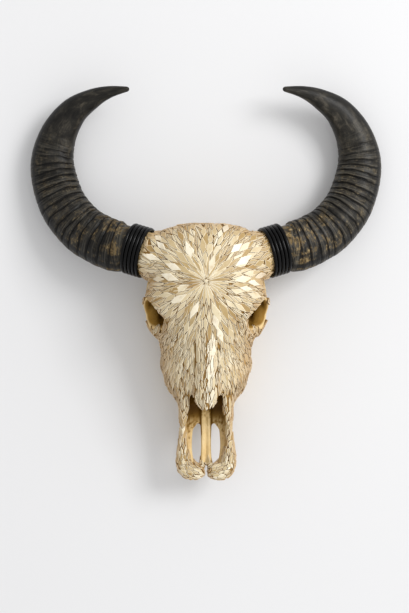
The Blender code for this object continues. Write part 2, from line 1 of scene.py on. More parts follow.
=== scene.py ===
# %% [markdown]
# # A water buffalo skull in a coat of bone chips
#
# This lesson dresses a plain model of a buffalo skull. The real one is an old craft piece: a skull
# without its lower jaw, its face covered in flat chips of bone laid like rays round one point of
# the forehead, and its two black horns bound on with cord. It lies on the floor with its face up.
# The plain model gives every size. Here the bone, the chips, the teeth, the horns and the cord are
# made again in detail, each in the place of the plain piece it stands for.

# %% The plain model, its box and the imports
import json
import math
import random
from bisect import bisect_right

import bmesh
import bpy
from mathutils import Matrix, Vector, noise
from mathutils.bvhtree import BVHTree
from mathutils.kdtree import KDTree

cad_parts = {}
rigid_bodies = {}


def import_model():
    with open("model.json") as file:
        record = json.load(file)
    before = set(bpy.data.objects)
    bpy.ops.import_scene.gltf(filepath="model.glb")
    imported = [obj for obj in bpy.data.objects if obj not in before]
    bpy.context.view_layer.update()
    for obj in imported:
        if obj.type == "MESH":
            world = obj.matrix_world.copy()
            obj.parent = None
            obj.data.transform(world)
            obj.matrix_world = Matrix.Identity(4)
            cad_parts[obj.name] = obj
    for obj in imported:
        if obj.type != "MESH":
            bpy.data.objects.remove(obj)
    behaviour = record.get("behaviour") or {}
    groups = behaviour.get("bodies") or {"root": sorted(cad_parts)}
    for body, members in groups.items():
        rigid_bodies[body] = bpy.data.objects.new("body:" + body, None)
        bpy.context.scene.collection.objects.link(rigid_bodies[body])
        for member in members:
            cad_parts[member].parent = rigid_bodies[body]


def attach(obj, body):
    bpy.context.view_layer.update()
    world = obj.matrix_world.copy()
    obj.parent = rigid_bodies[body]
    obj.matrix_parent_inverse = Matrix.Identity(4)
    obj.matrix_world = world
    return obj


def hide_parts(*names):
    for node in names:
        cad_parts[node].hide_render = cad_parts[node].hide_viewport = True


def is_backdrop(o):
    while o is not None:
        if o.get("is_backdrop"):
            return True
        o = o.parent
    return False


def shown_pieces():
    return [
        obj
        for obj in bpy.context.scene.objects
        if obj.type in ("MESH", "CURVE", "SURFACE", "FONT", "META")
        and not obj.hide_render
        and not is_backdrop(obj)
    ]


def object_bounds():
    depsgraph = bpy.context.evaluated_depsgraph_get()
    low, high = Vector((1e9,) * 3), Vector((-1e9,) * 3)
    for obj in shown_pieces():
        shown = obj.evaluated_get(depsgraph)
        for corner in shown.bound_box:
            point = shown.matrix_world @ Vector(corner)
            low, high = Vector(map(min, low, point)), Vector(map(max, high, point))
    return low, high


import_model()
plain_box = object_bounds()


def tell_box(name, box):
    low, high = ([round(value, 3) for value in corner] for corner in box)
    print(name, "from", low, "to", high)


tell_box("plain model", plain_box)

# %% [markdown]
# ## Camera
#
# The picture looks straight at the forehead. As the skull lies face up, the camera hangs above it
# and looks down. A long lens from far away keeps the nose, which is lower, nearly as large as the
# forehead. The lens follows from the scale that is wanted at the floor: pixels for each metre.

# %% The camera
PICTURE_WIDTH = 409
CAMERA_PLACE = (-0.0029, -0.0465, 2.6)
PIXELS_AT_ONE_METRE = 1300
SENSOR = 36.0

camera = bpy.data.objects.new("camera", bpy.data.cameras.new("camera"))
camera.data.sensor_fit = "HORIZONTAL"
camera.data.sensor_width = SENSOR
camera.data.lens = SENSOR * PIXELS_AT_ONE_METRE / PICTURE_WIDTH
camera.location = CAMERA_PLACE
bpy.context.scene.collection.objects.link(camera)
bpy.context.scene.camera = camera
print("lens", round(camera.data.lens, 1), "mm")

# %% [markdown]
# ## Helpers for meshes
#
# Nearly every piece here is a skin rolled round a line: the head, the bars of bone, the horns, the
# cord. One helper does that. It takes a flat grid, bends it into a tube by moving each vertex to
# the place that a function gives, welds the seam, and closes the two ends. The same function can
# give values to keep on the vertices, which the finishes read later.

# %% Rolling a grid into a closed skin
def spline(rows, share):
    """The row of numbers at a share from 0 to 1 along a smooth curve through the rows."""
    reached = share * (len(rows) - 1)
    first = min(int(reached), len(rows) - 2)
    t = reached - first
    before = rows[max(first - 1, 0)]
    after = rows[min(first + 2, len(rows) - 1)]
    values = []
    for a, b, c, d in zip(before, rows[first], rows[first + 1], after):
        slope_in = (c - a) / 2
        slope_out = (d - b) / 2
        bend = 3 * (c - b) - 2 * slope_in - slope_out
        values.append(b + t * (slope_in + t * (bend + t * (2 * (b - c) + slope_in + slope_out))))
    return values


def power(value, exponent):
    """A power that keeps the sign of its base."""
    return math.copysign(abs(value) ** exponent, value)


def roll_grid(bm, rings, sides, place, layers=()):
    """Roll a grid into a closed skin: place(along, around) gives each point, both from 0 to 1.

    With layers, it gives the point and after it the value for each layer.
    """
    grid = bmesh.ops.create_grid(bm, x_segments=rings, y_segments=sides, size=0.5)["verts"]
    for vert in grid:
        placed = place(vert.co.x + 0.5, vert.co.y + 0.5)
        if layers:
            placed, *values = placed
            for layer, value in zip(layers, values):
                vert[layer] = value
        vert.co = placed
    bmesh.ops.remove_doubles(bm, verts=grid, dist=1e-6)
    kept = [vert for vert in grid if vert.is_valid]
    rims = {edge for vert in kept for edge in vert.link_edges if edge.is_boundary}
    bmesh.ops.holes_fill(bm, edges=list(rims), sides=0)
    faces = {face for vert in kept for face in vert.link_faces}
    bmesh.ops.recalc_face_normals(bm, faces=list(faces))


# %% Objects, modifiers and cutters
def new_object(name, bm):
    """Turn a bmesh into an object of the scene."""
    mesh = bpy.data.meshes.new(name)
    bm.to_mesh(mesh)
    bm.free()
    piece = bpy.data.objects.new(name, mesh)
    bpy.context.scene.collection.objects.link(piece)
    return piece


def apply_modifiers(piece):
    graph = bpy.context.evaluated_depsgraph_get()
    mesh = bpy.data.meshes.new_from_object(piece.evaluated_get(graph))
    piece.modifiers.clear()
    piece.data = mesh


def remesh(piece, voxel):
    """Melt what overlaps into one even skin."""
    modifier = piece.modifiers.new("Remesh", "REMESH")
    modifier.mode = "VOXEL"
    modifier.voxel_size = voxel
    apply_modifiers(piece)


def carve(piece, shapes):
    """Cut closed shapes out of a piece, and drop them."""
    group = bpy.data.collections.new("carving shapes")
    bpy.context.scene.collection.children.link(group)
    for bm in shapes:
        shape = new_object("carving shape", bm)
        bpy.context.scene.collection.objects.unlink(shape)
        group.objects.link(shape)
    modifier = piece.modifiers.new("Carve", "BOOLEAN")
    modifier.operation = "DIFFERENCE"
    modifier.operand_type = "COLLECTION"
    modifier.collection = group
    modifier.solver = "MANIFOLD"
    apply_modifiers(piece)
    for shape in list(group.objects):
        bpy.data.objects.remove(shape)
    bpy.data.collections.remove(group)


def mirrored(vector, side):
    """A point or direction of the right side taken to the given side, -1 or 1."""
    return Vector((vector[0] * side, vector[1], vector[2]))


def facing(direction):
    """The rotation that turns Z to a direction."""
    return direction.to_track_quat("Z", "Y").to_matrix().to_4x4()


def add_ball(bm, centre, radii, turn=None):
    matrix = Matrix.Translation(centre) @ (turn or Matrix()) @ Matrix.Diagonal((*radii, 1))
    bmesh.ops.create_icosphere(bm, subdivisions=4, radius=1.0, matrix=matrix)


def add_bar(bm, stations, side, rings=48, sides=32, squareness=2.3):
    """A bar of bone along stations of x, y, z, half width in plan and half depth."""
    step = 0.5 / rings

    def place(along, around):
        x, y, z, width, depth = spline(stations, along)
        ahead = Vector(spline(stations, min(along + step, 1.0))[:3])
        behind = Vector(spline(stations, max(along - step, 0.0))[:3])
        heading = (ahead - behind).normalized()
        upright = abs(heading.z) > 0.8
        across = heading.cross(Vector((0, 1, 0)) if upright else Vector((0, 0, 1))).normalized()
        lift = across.cross(heading)
        rounding = min(1.0, math.sqrt(min(along, 1 - along) * 12) + 0.35)
        turn = around * math.tau
        point = Vector((x, y, z))
        point += across * width * rounding * power(math.cos(turn), 2 / squareness)
        point += lift * depth * rounding * power(math.sin(turn), 2 / squareness)
        return mirrored(point, side)

    roll_grid(bm, rings, sides, place)


# %% [markdown]
# ## Helpers for materials
#
# A finish is a small sum: so much of one tone, more of another where a pattern is strong. Written
# as a sum it is easy to read, so a class wraps a node's output and gives it plus, minus and times.
# Each of these adds a Math node. Every other node comes from one method.

# %% Shader sums
class Term:
    """An output of a node that can be used in plain arithmetic."""

    def __init__(self, finish, socket):
        self.finish = finish
        self.socket = socket

    def math(self, operation, *values, clamp=False):
        settings = {"operation": operation, "use_clamp": clamp}
        return self.finish.node("ShaderNodeMath", settings, dict(enumerate(values)))

    def __add__(self, other):
        return self.math("ADD", self, other)

    def __sub__(self, other):
        return self.math("SUBTRACT", self, other)

    def __rsub__(self, other):
        return self.math("SUBTRACT", other, self)

    def __mul__(self, other):
        return self.math("MULTIPLY", self, other)

    __radd__ = __add__
    __rmul__ = __mul__

    def above(self, low, high):
        """0 below low, 1 above high, and smooth between."""
        settings = {"interpolation_type": "SMOOTHSTEP"}
        return self.finish.node("ShaderNodeMapRange", settings,
                                {"Value": self, "From Min": low, "From Max": high})

    def held(self):
        """The same, kept between 0 and 1."""
        return self.math("ADD", self, 0.0, clamp=True)

    def or_more(self, other):
        """The larger of two."""
        return self.math("MAXIMUM", self, other)


class Finish:
    """A material on a Principled shader."""

    def __init__(self, name, **values):
        self.material = bpy.data.materials.new(name)
        self.material.use_nodes = True
        self.tree = self.material.node_tree
        self.shader = self.tree.nodes["Principled BSDF"]
        for socket, value in values.items():
            self.shader.inputs[socket.replace("_", " ")].default_value = value

    def feed(self, socket, value):
        if isinstance(value, Term):
            self.tree.links.new(value.socket, socket)
        else:
            socket.default_value = value

    def node(self, kind, settings=None, inputs=None, output=0):
        """Add a node: its settings first, then the values or links of its sockets."""
        node = self.tree.nodes.new(kind)
        for name, value in (settings or {}).items():
            if name == "stops":
                for index, (position, colour) in enumerate(value):
                    stops = node.color_ramp.elements
                    stop = stops[index] if index < 2 else stops.new(position)
                    stop.position = position
                    stop.color = colour
            else:
                setattr(node, name, value)
        for name, value in (inputs or {}).items():
            self.feed(node.inputs[name], value)
        return Term(self, node.outputs[output])

    def here(self):
        """Where a point is, in metres."""
        return self.node("ShaderNodeTexCoord", output="Object")

    def attribute(self, name, output="Fac"):
        return self.node("ShaderNodeAttribute", {"attribute_name": name}, output=output)

    def stretched(self, place, scale):
        """A place with each of its axes scaled."""
        return self.node("ShaderNodeMapping", {}, {"Vector": place, "Scale": scale})

    def noise(self, place, scale, detail=4.0, roughness=0.5, distortion=0.0):
        return self.node("ShaderNodeTexNoise", {}, {
            "Vector": place, "Scale": scale, "Detail": detail, "Roughness": roughness,
            "Distortion": distortion})

    def mix(self, low, high, factor):
        """One colour where the factor is 0, the other where it is 1."""
        return self.node("ShaderNodeMix", {"data_type": "RGBA"}, {0: factor, 6: low, 7: high}, 2)

    def ramp(self, factor, *stops):
        return self.node("ShaderNodeValToRGB", {"stops": stops}, {"Fac": factor})

    def set(self, socket, value):
        self.feed(self.shader.inputs[socket], value)

    def done(self, colour, roughness, relief, height, strength):
        """Lead the patterns to the shader, and give the material."""
        self.set("Base Color", colour)
        self.set("Roughness", roughness)
        self.set("Normal", self.node("ShaderNodeBump", {}, {
            "Height": relief, "Distance": height, "Strength": strength}))
        return self.material


def tone(red, green, blue):
    """A colour given in steps of 0 to 255, as the linear values that a shader takes."""
    return tuple((step / 255) ** 2.2 for step in (red, green, blue)) + (1.0,)


# %% [markdown]
# ## The bone
#
# A buffalo skull seen from above is a broad shield that narrows to two long nasal bones, with the
# two thin premaxillae in front. One loft gives the cranium and face, from the width, height and
# squareness of a few sections. Balls and bars add the braincase, the tooth ridges and the thin
# bones. A voxel remesh melts them into one skin, and shapes are carved out between the meltings:
# sockets, nose, throat, temples and the long slots of the palate.

# %% Sections of the head: y, half width, z of the widest level, top, bottom, squareness up and down
HEAD_STATIONS = (
    (0.1085, 0.034, 0.142, 0.152, 0.128, 2.2, 2.0),
    (0.1030, 0.064, 0.134, 0.163, 0.108, 2.4, 2.0),
    (0.0930, 0.086, 0.128, 0.174, 0.092, 2.4, 1.9),
    (0.0740, 0.102, 0.124, 0.186, 0.078, 2.4, 1.8),
    (0.0450, 0.109, 0.122, 0.196, 0.068, 2.3, 1.7),
    (0.0100, 0.105, 0.126, 0.201, 0.062, 2.2, 1.6),
    (-0.0200, 0.112, 0.128, 0.199, 0.058, 2.1, 1.6),
    (-0.0550, 0.110, 0.120, 0.193, 0.052, 1.9, 1.7),
    (-0.0900, 0.0965, 0.108, 0.182, 0.036, 1.75, 2.0),
    (-0.1250, 0.0855, 0.095, 0.171, 0.028, 1.7, 2.3),
    (-0.1700, 0.0820, 0.088, 0.159, 0.026, 1.7, 2.4),
    (-0.2000, 0.0750, 0.086, 0.148, 0.028, 1.7, 2.5),
    (-0.2200, 0.0615, 0.086, 0.132, 0.036, 1.7, 2.6),
    (-0.2350, 0.0505, 0.086, 0.112, 0.050, 1.8, 2.4),
)
NASAL_STATIONS = (
    (-0.0600, 0.014, 0.176, 0.012),
    (-0.1000, 0.019, 0.168, 0.014),
    (-0.1500, 0.021, 0.157, 0.015),
    (-0.1950, 0.024, 0.147, 0.014),
    (-0.2150, 0.024, 0.142, 0.013),
    (-0.2290, 0.019, 0.140, 0.011),
    (-0.2370, 0.012, 0.139, 0.009),
    (-0.2420, 0.004, 0.139, 0.006),
)
NASAL_SQUARENESS = 1.7


def head_section(along, around):
    y, width, middle, top, bottom, top_power, bottom_power = spline(HEAD_STATIONS, along)
    turn = around * math.tau
    upper = math.sin(turn) >= 0
    squareness = top_power if upper else bottom_power
    height = (top - middle) if upper else (middle - bottom)
    x = width * power(math.cos(turn), 2 / squareness)
    return Vector((x, y, middle + height * power(math.sin(turn), 2 / squareness)))


def nasal_section(along, around):
    y, width, middle, depth = spline(NASAL_STATIONS, along)
    turn = around * math.tau
    x = width * power(math.cos(turn), 2 / NASAL_SQUARENESS)
    return Vector((x, y, middle + depth * power(math.sin(turn), 2 / NASAL_SQUARENESS)))


# %% Bars of bone on the right side: x, y, z, half width in plan, half depth
PREMAXILLA_BAR = (
    (0.0480, -0.1900, 0.0980, 0.0160, 0.018),
    (0.0405, -0.2260, 0.1020, 0.0110, 0.024),
    (0.0412, -0.2480, 0.0970, 0.0092, 0.022),
    (0.0442, -0.2700, 0.0900, 0.0064, 0.020),
    (0.0448, -0.3050, 0.0830, 0.0070, 0.015),
    (0.0444, -0.3300, 0.0800, 0.0106, 0.013),
    (0.0422, -0.3500, 0.0790, 0.0142, 0.012),
    (0.0350, -0.3630, 0.0790, 0.016, 0.012),
    (0.0180, -0.3650, 0.0790, 0.015, 0.011),
    (0.0080, -0.3600, 0.0780, 0.012, 0.010),
)
PALATE_STRIP = (
    (0.0055, -0.2300, 0.0740, 0.0055, 0.010),
    (0.0058, -0.2900, 0.0740, 0.0048, 0.007),
    (0.0062, -0.3300, 0.0740, 0.0044, 0.006),
    (0.0070, -0.3600, 0.0760, 0.0050, 0.006),
)
PALATE_SHELF = (
    (0.0310, -0.2200, 0.0680, 0.0240, 0.008),
    (0.0290, -0.2550, 0.0690, 0.0220, 0.007),
    (0.0300, -0.2740, 0.0690, 0.0190, 0.006),
    (0.0340, -0.2900, 0.0700, 0.0130, 0.006),
    (0.0340, -0.3050, 0.0700, 0.012, 0.006),
    (0.0340, -0.3400, 0.0730, 0.011, 0.007),
    (0.0300, -0.3600, 0.0750, 0.012, 0.008),
)
BROW_BAR = (
    (0.1080, -0.0250, 0.1290, 0.0050, 0.006),
    (0.1050, -0.0280, 0.1380, 0.0075, 0.007),
    (0.0975, -0.0345, 0.1465, 0.0090, 0.007),
    (0.0865, -0.0460, 0.1515, 0.0090, 0.007),
    (0.0745, -0.0600, 0.1520, 0.0090, 0.007),
    (0.0690, -0.0690, 0.1480, 0.0060, 0.006),
)
CENTRAL_BAR = (
    (0.0, -0.1900, 0.0780, 0.0085, 0.013),
    (0.0, -0.2350, 0.0765, 0.0090, 0.010),
    (0.0, -0.2600, 0.0735, 0.0088, 0.006),
    (0.0, -0.2780, 0.0730, 0.0080, 0.006),
    (0.0, -0.2950, 0.0720, 0.0060, 0.0040),
    (0.0, -0.3300, 0.0715, 0.0055, 0.0032),
    (0.0, -0.3540, 0.0740, 0.0050, 0.0030),
)
CHEEK_BAR = (
    (0.0840, -0.1000, 0.0960, 0.012, 0.014),
    (0.0980, -0.0800, 0.0950, 0.014, 0.013),
    (0.1030, -0.0500, 0.0940, 0.014, 0.011),
    (0.1070, -0.0200, 0.0960, 0.009, 0.011),
    (0.1040, 0.0120, 0.0990, 0.006, 0.010),
    (0.0940, 0.0380, 0.1020, 0.009, 0.011),
    (0.0740, 0.0520, 0.1040, 0.012, 0.012),
)
TOOTH_RIDGE = (
    (0.0600, -0.0800, 0.0440, 0.013, 0.024),
    (0.0580, -0.1250, 0.0400, 0.017, 0.027),
    (0.0550, -0.1700, 0.0400, 0.017, 0.027),
    (0.0500, -0.2060, 0.0420, 0.014, 0.026),
    (0.0460, -0.2360, 0.0500, 0.010, 0.022),
    (0.0430, -0.2640, 0.0640, 0.007, 0.011),
)
EAR_PROCESS = (
    (0.0600, 0.0780, 0.1000, 0.020, 0.014),
    (0.0600, 0.0800, 0.0700, 0.016, 0.012),
    (0.0560, 0.0800, 0.0420, 0.010, 0.009),
    (0.0510, 0.0760, 0.0180, 0.005, 0.006),
)
THROAT_WING = (
    (0.0300, -0.0780, 0.0560, 0.003, 0.012),
    (0.0290, -0.0520, 0.0540, 0.003, 0.016),
    (0.0280, -0.0260, 0.0580, 0.003, 0.015),
    (0.0260, -0.0040, 0.0640, 0.004, 0.010),
)

# %% Where horn and skull meet, and the sockets
JOINT = Vector((0.130, 0.0602, 0.112))
HORN_AXIS = Vector((0.919, 0.285, -0.272)).normalized()
BASE_HALF_WIDTH = 0.0415
BASE_HALF_DEPTH = 0.0375
OUTER_EDGE_THINNING = 0.20
STUB_STATIONS = (
    (0.0005, -0.0012),
    (0.0080, -0.0012),
    (0.0225, -0.0012),
    (0.0255, 0.0030),
    (0.0430, 0.0064),
    (0.0620, 0.0095),
    (0.0800, 0.0100),
)
ORBIT_CENTRE = Vector((0.0930, -0.0580, 0.1260))
ORBIT_FACING = Vector((0.77, -0.44, 0.46)).normalized()
ORBIT_RADIUS = 0.0330
ORBIT_RIM = 0.0058


def horn_section(point, heading, width, depth, turn, scale=1.0):
    """A point on the horn's section, which is thinner towards its outer edge."""
    across = heading.cross(Vector((0, 0, 1))).normalized()
    lift = across.cross(heading)
    c = math.cos(turn)
    s = math.sin(turn)
    thin = 1 - OUTER_EDGE_THINNING * max(c, 0) ** 2
    offset = across * width * power(c, 2 / 2.2) + lift * depth * thin * power(s, 2 / 2.2)
    return point + offset * scale


def add_stub(bm, side):
    """The horn core, which swells from the binding into the head."""

    def place(along, around):
        distance, swelling = spline(STUB_STATIONS, along)
        point = JOINT - HORN_AXIS * distance
        width = BASE_HALF_WIDTH + swelling
        depth = BASE_HALF_DEPTH + swelling
        return mirrored(horn_section(point, HORN_AXIS, width, depth, around * math.tau), side)

    roll_grid(bm, 60, 72, place)


def add_rim(bm, side):
    """The raised rim of a socket."""
    across = facing(mirrored(ORBIT_FACING, side)).to_3x3()
    centre = mirrored(ORBIT_CENTRE, side)

    def place(along, around):
        spin = along * math.tau
        out = across @ Vector((math.cos(spin), math.sin(spin), 0))
        up = across @ Vector((0, 0, 1))
        turn = around * math.tau
        ring = centre + out * ORBIT_RADIUS
        return ring + out * math.cos(turn) * ORBIT_RIM + up * math.sin(turn) * ORBIT_RIM * 1.2

    roll_grid(bm, 72, 18, place)


# %% The solid block of the head
BLOCK_VOXEL = 0.0025
BONE_VOXEL = 0.0023

block = bmesh.new()
roll_grid(block, 96, 96, head_section)
roll_grid(block, 60, 36, nasal_section)
add_ball(block, Vector((0, 0.040, 0.100)), (0.060, 0.062, 0.044))
add_ball(block, Vector((0, 0.084, 0.112)), (0.088, 0.024, 0.040))
for side in (-1, 1):
    add_bar(block, TOOTH_RIDGE, side, squareness=2.4)
    add_ball(block, Vector((side * 0.078, -0.158, 0.070)), (0.010, 0.022, 0.011))
bone = new_object("bone", block)
remesh(bone, BLOCK_VOXEL)
print("block of the head:", len(bone.data.polygons), "faces")

# %% [markdown]
# The hollows are closed shapes too. A socket is a deep egg with a flared mouth. The nose is a
# tunnel that ends in the face, the palate is arched, and the temple and the space for the lower
# jaw are scooped out beside the braincase, which leaves the cheek to be bridged by a thin bar.

# %% Hollows
NOSE = ((0.0, -0.2900, 0.1050, 0.037, 0.034), (0.0, -0.2400, 0.1060, 0.034, 0.033),
        (0.0, -0.2000, 0.1060, 0.029, 0.031), (0.0, -0.1500, 0.1050, 0.022, 0.026),
        (0.0, -0.1150, 0.1020, 0.014, 0.018))
THROAT = ((0.0, -0.0250, 0.0480, 0.024, 0.022), (0.0, -0.0550, 0.0640, 0.021, 0.022),
          (0.0, -0.0880, 0.0740, 0.017, 0.016))
PALATE = ((0.0, -0.2900, 0.0120, 0.036, 0.038), (0.0, -0.2200, 0.0120, 0.035, 0.038),
          (0.0, -0.1500, 0.0100, 0.037, 0.038), (0.0, -0.0900, 0.0080, 0.039, 0.038),
          (0.0, -0.0500, 0.0040, 0.040, 0.038))


def tunnel(stations, squareness):
    bm = bmesh.new()
    add_bar(bm, stations, 1, squareness=squareness)
    return bm


def scoop(centre, radii, turn=None):
    bm = bmesh.new()
    add_ball(bm, centre, radii, turn)
    return bm


def cone(centre, direction, radius, mouth_radius, depth):
    bm = bmesh.new()
    bmesh.ops.create_cone(bm, cap_ends=True, segments=64, radius1=radius, radius2=mouth_radius,
                          depth=depth, matrix=Matrix.Translation(centre) @ facing(direction))
    return bm


hollows = [tunnel(NOSE, 2.6), tunnel(THROAT, 2.6), tunnel(PALATE, 2.8)]
for side in (-1, 1):
    look = mirrored(ORBIT_FACING, side)
    eye = mirrored(ORBIT_CENTRE, side)
    outwards = mirrored(HORN_AXIS, side)
    hollows += [
        scoop(eye - look * 0.006, (0.0285, 0.0285, 0.046), facing(look)),
        cone(eye + look * 0.033, look, 0.036, 0.060, 0.060),
        scoop(Vector((side * 0.040, 0.1260, 0.1180)), (0.044, 0.030, 0.028)),
        scoop(Vector((side * 0.1030, 0.0080, 0.0960)), (0.040, 0.043, 0.040)),
        scoop(Vector((side * 0.0880, -0.0300, 0.0440)), (0.038, 0.056, 0.034)),
        cone(mirrored(JOINT, side) + outwards * 0.018, outwards, 0.062, 0.062, 0.080),
    ]
carve(bone, hollows)

# %% Thin bones, melted on after the hollows
thin_bones = bmesh.new()
for side in (-1, 1):
    for stations in (PREMAXILLA_BAR, PALATE_STRIP, PALATE_SHELF, BROW_BAR, CHEEK_BAR, EAR_PROCESS,
                     THROAT_WING):
        add_bar(thin_bones, stations, side)
    add_stub(thin_bones, side)
    add_rim(thin_bones, side)
    add_ball(thin_bones, Vector((side * 0.027, 0.092, 0.072)), (0.019, 0.022, 0.026))
    add_ball(thin_bones, Vector((side * 0.042, 0.040, 0.066)), (0.015, 0.026, 0.020))
add_bar(thin_bones, CENTRAL_BAR, 1)
add_ball(thin_bones, Vector((0, 0.050, 0.066)), (0.022, 0.056, 0.018))
thin_bones.from_mesh(bone.data)
thin_bones.to_mesh(bone.data)
thin_bones.free()
remesh(bone, BONE_VOXEL)

# %% Slots of the palate, gaps beside the nasals, the spinal cord's hole and small holes
holes = []
for side in (-1, 1):
    groove = ((side * 0.0140, -0.2740, 0.0700, 0.0030, 0.030),
              (side * 0.0165, -0.2840, 0.0700, 0.0065, 0.030),
              (side * 0.0180, -0.2900, 0.0700, 0.0080, 0.030),
              (side * 0.0185, -0.3200, 0.0700, 0.009, 0.030),
              (side * 0.0175, -0.3500, 0.0700, 0.006, 0.030))
    wedge = ((side * 0.0262, -0.2080, 0.1300, 0.0010, 0.020),
             (side * 0.0275, -0.2180, 0.1280, 0.0030, 0.022),
             (side * 0.0270, -0.2300, 0.1260, 0.0060, 0.024),
             (side * 0.0260, -0.2450, 0.1240, 0.0070, 0.024))
    holes.append(tunnel(groove, 2.6))
    holes.append(tunnel(wedge, 2.6))
    holes.append(scoop(Vector((side * 0.086, -0.190, 0.078)), (0.012, 0.007, 0.0045)))
    holes.append(scoop(Vector((side * 0.020, -0.098, 0.047)), (0.0030, 0.0040, 0.008)))
holes.append(scoop(Vector((0, 0.104, 0.088)), (0.018, 0.036, 0.016)))
carve(bone, holes)
remesh(bone, BONE_VOXEL)
smooth = bone.modifiers.new("Smooth", "SMOOTH")
smooth.iterations = 2
apply_modifiers(bone)
bone.data.shade_smooth()
print("bone:", len(bone.data.polygons), "faces")

# %% [markdown]
# ## Laying out the chips
#
# The chips start at one point of the forehead and run outwards like the rays of a star, ring after
# ring, each ring half a step round from the last, so that their points interlock. Laid out on a
# flat drawing they would be stretched on the steep cheeks, so the rays are walked over the skull
# itself: each is a line that goes straight on over the surface, and a chip's place is a length
# along it. A few large white chips are set first, and the others keep no distance from them. The
# nasals and the premaxillae have straight lanes of their own. Where neither rays nor lanes reach,
# chips are put at random places that keep clear of each other. About a third of all chips lie on
# top, over the edges of the rest, as the maker of such a coat closes its gaps.

# %% The surface, and what part of it is covered
surface = BVHTree.FromObject(bone, bpy.context.evaluated_depsgraph_get())
STAR = surface.ray_cast(Vector((0.0, 0.0006, 0.5)), Vector((0, 0, -1)))[0]
# How far in the chips of the muzzle reach, from the middle of the skull, in even steps forward
MUZZLE_FROM = -0.180
MUZZLE_LENGTH = 0.165
CHIPS_INNER_EDGE = ((0.034,), (0.029,), (0.0315,), (0.0400,), (0.0410,), (0.0365,), (0.0300,))
# The straight edge of the brow over a socket, seen from above: a point on it and the way out
BROW_POINT = Vector((0.1180, -0.0230, 0.0))
BROW_OUT = Vector((0.744, -0.668, 0.0))
# The two nasal bones, which have columns of their own
NASALS_START = -0.104
NASALS_HALF_WIDTH = 0.0205
FACE_TOP = 0.125
# The edge of the binding, along the horn's axis from the joint
BINDING_EDGE = -0.0255


def past_brow(point):
    """How far a point lies beyond the edge of the brow, seen from above."""
    return (Vector((abs(point.x), point.y, 0.0)) - BROW_POINT).dot(BROW_OUT)


def near_brow(point):
    return abs(point.x) > 0.060 and -0.072 < point.y < -0.018 and point.z > 0.122


def on_nasals(point):
    return point.y < NASALS_START and abs(point.x) < NASALS_HALF_WIDTH and point.z > FACE_TOP


def is_tiled(point, normal):
    """Whether a point of the skull carries chips, and isn't bare bone or under a binding."""
    x = abs(point.x)
    y = point.y
    z = point.z
    right_point = Vector((x, y, z))
    if (right_point - JOINT).dot(HORN_AXIS) > BINDING_EDGE:
        return False
    if near_brow(point) and normal.z > 0.1 and past_brow(point) < 0.0:
        return True
    from_socket = right_point - ORBIT_CENTRE
    depth = from_socket.dot(ORBIT_FACING)
    beside = from_socket - ORBIT_FACING * depth
    if beside.length < ORBIT_RADIUS + 0.001 and depth > -0.05:
        return False
    # The very front of the muzzle, then the premaxillae beside the nose
    if y < -0.345:
        return z > 0.068 and y < -0.349
    if y < MUZZLE_FROM and z < 0.135 and x < 0.060:
        inner = spline(CHIPS_INNER_EDGE, (MUZZLE_FROM - y) / MUZZLE_LENGTH)[0]
        return x > inner and z > 0.072 and (normal.z > 0.40 or x > inner + 0.012)
    # The back of the head, all that faces down, and what lies below the lower edge of the chips
    if y > 0.02 and z < 0.105 and x < 0.09:
        return False
    if normal.z < -0.25:
        return False
    if y > -0.09:
        return z > 0.112
    return z > 0.052 + 0.040 * max(0.0, min(1.0, (y + 0.14) / 0.05))


# Length and width of the chips in each part of the head
MUZZLE_CHIP = (0.017, 0.0060)
HORN_CORE_CHIP = (0.024, 0.0085)
POLL_CHIP = (0.024, 0.0090)
CHEEK_CHIP = (0.030, 0.0070)
FACE_CHIP = (0.030, 0.0090)
FOREHEAD_CHIP = (0.034, 0.0115)


def chip_size(point):
    """Length and width of the chips round a point."""
    if point.y < -0.245:
        return MUZZLE_CHIP
    if (Vector((abs(point.x), point.y, point.z)) - JOINT).dot(HORN_AXIS) > -0.05:
        return HORN_CORE_CHIP
    if point.y > 0.085:
        return POLL_CHIP
    if point.y < -0.06:
        return CHEEK_CHIP if abs(point.x) > 0.03 else FACE_CHIP
    return FOREHEAD_CHIP


def chip_heading(point, normal):
    """The way a chip points: out from the star, and straight down the face beside the nose."""
    out = point - STAR
    out.z = 0
    out.normalize()
    if point.y < -0.05:
        out = out.lerp(Vector((0, -1, 0)), 0.7 * min(1.0, (-0.05 - point.y) / 0.10))
    if point.y < -0.35:
        out = Vector((-math.copysign(0.9, point.x), -0.5, 0))
    flat = out - normal * out.dot(normal)
    if flat.length < 0.05:
        flat = Vector((0, 0, -1)) - normal * -normal.z
    return flat.normalized()


# %% A chip's place and measure
def outer(vector):
    return Matrix([[a * b for b in vector] for a in vector])


SHARE_ON_TOP = 0.34
WEIGHTS = (0.70, 1.30)
# How far a chip's points may stand off the bone: a share of its half length, and a little more
STAND_OFF_SHARE = 0.10
STAND_OFF = 0.0008
LEAST_AGREEMENT = 0.55
CHIPS_LOWER_EDGE = 0.095


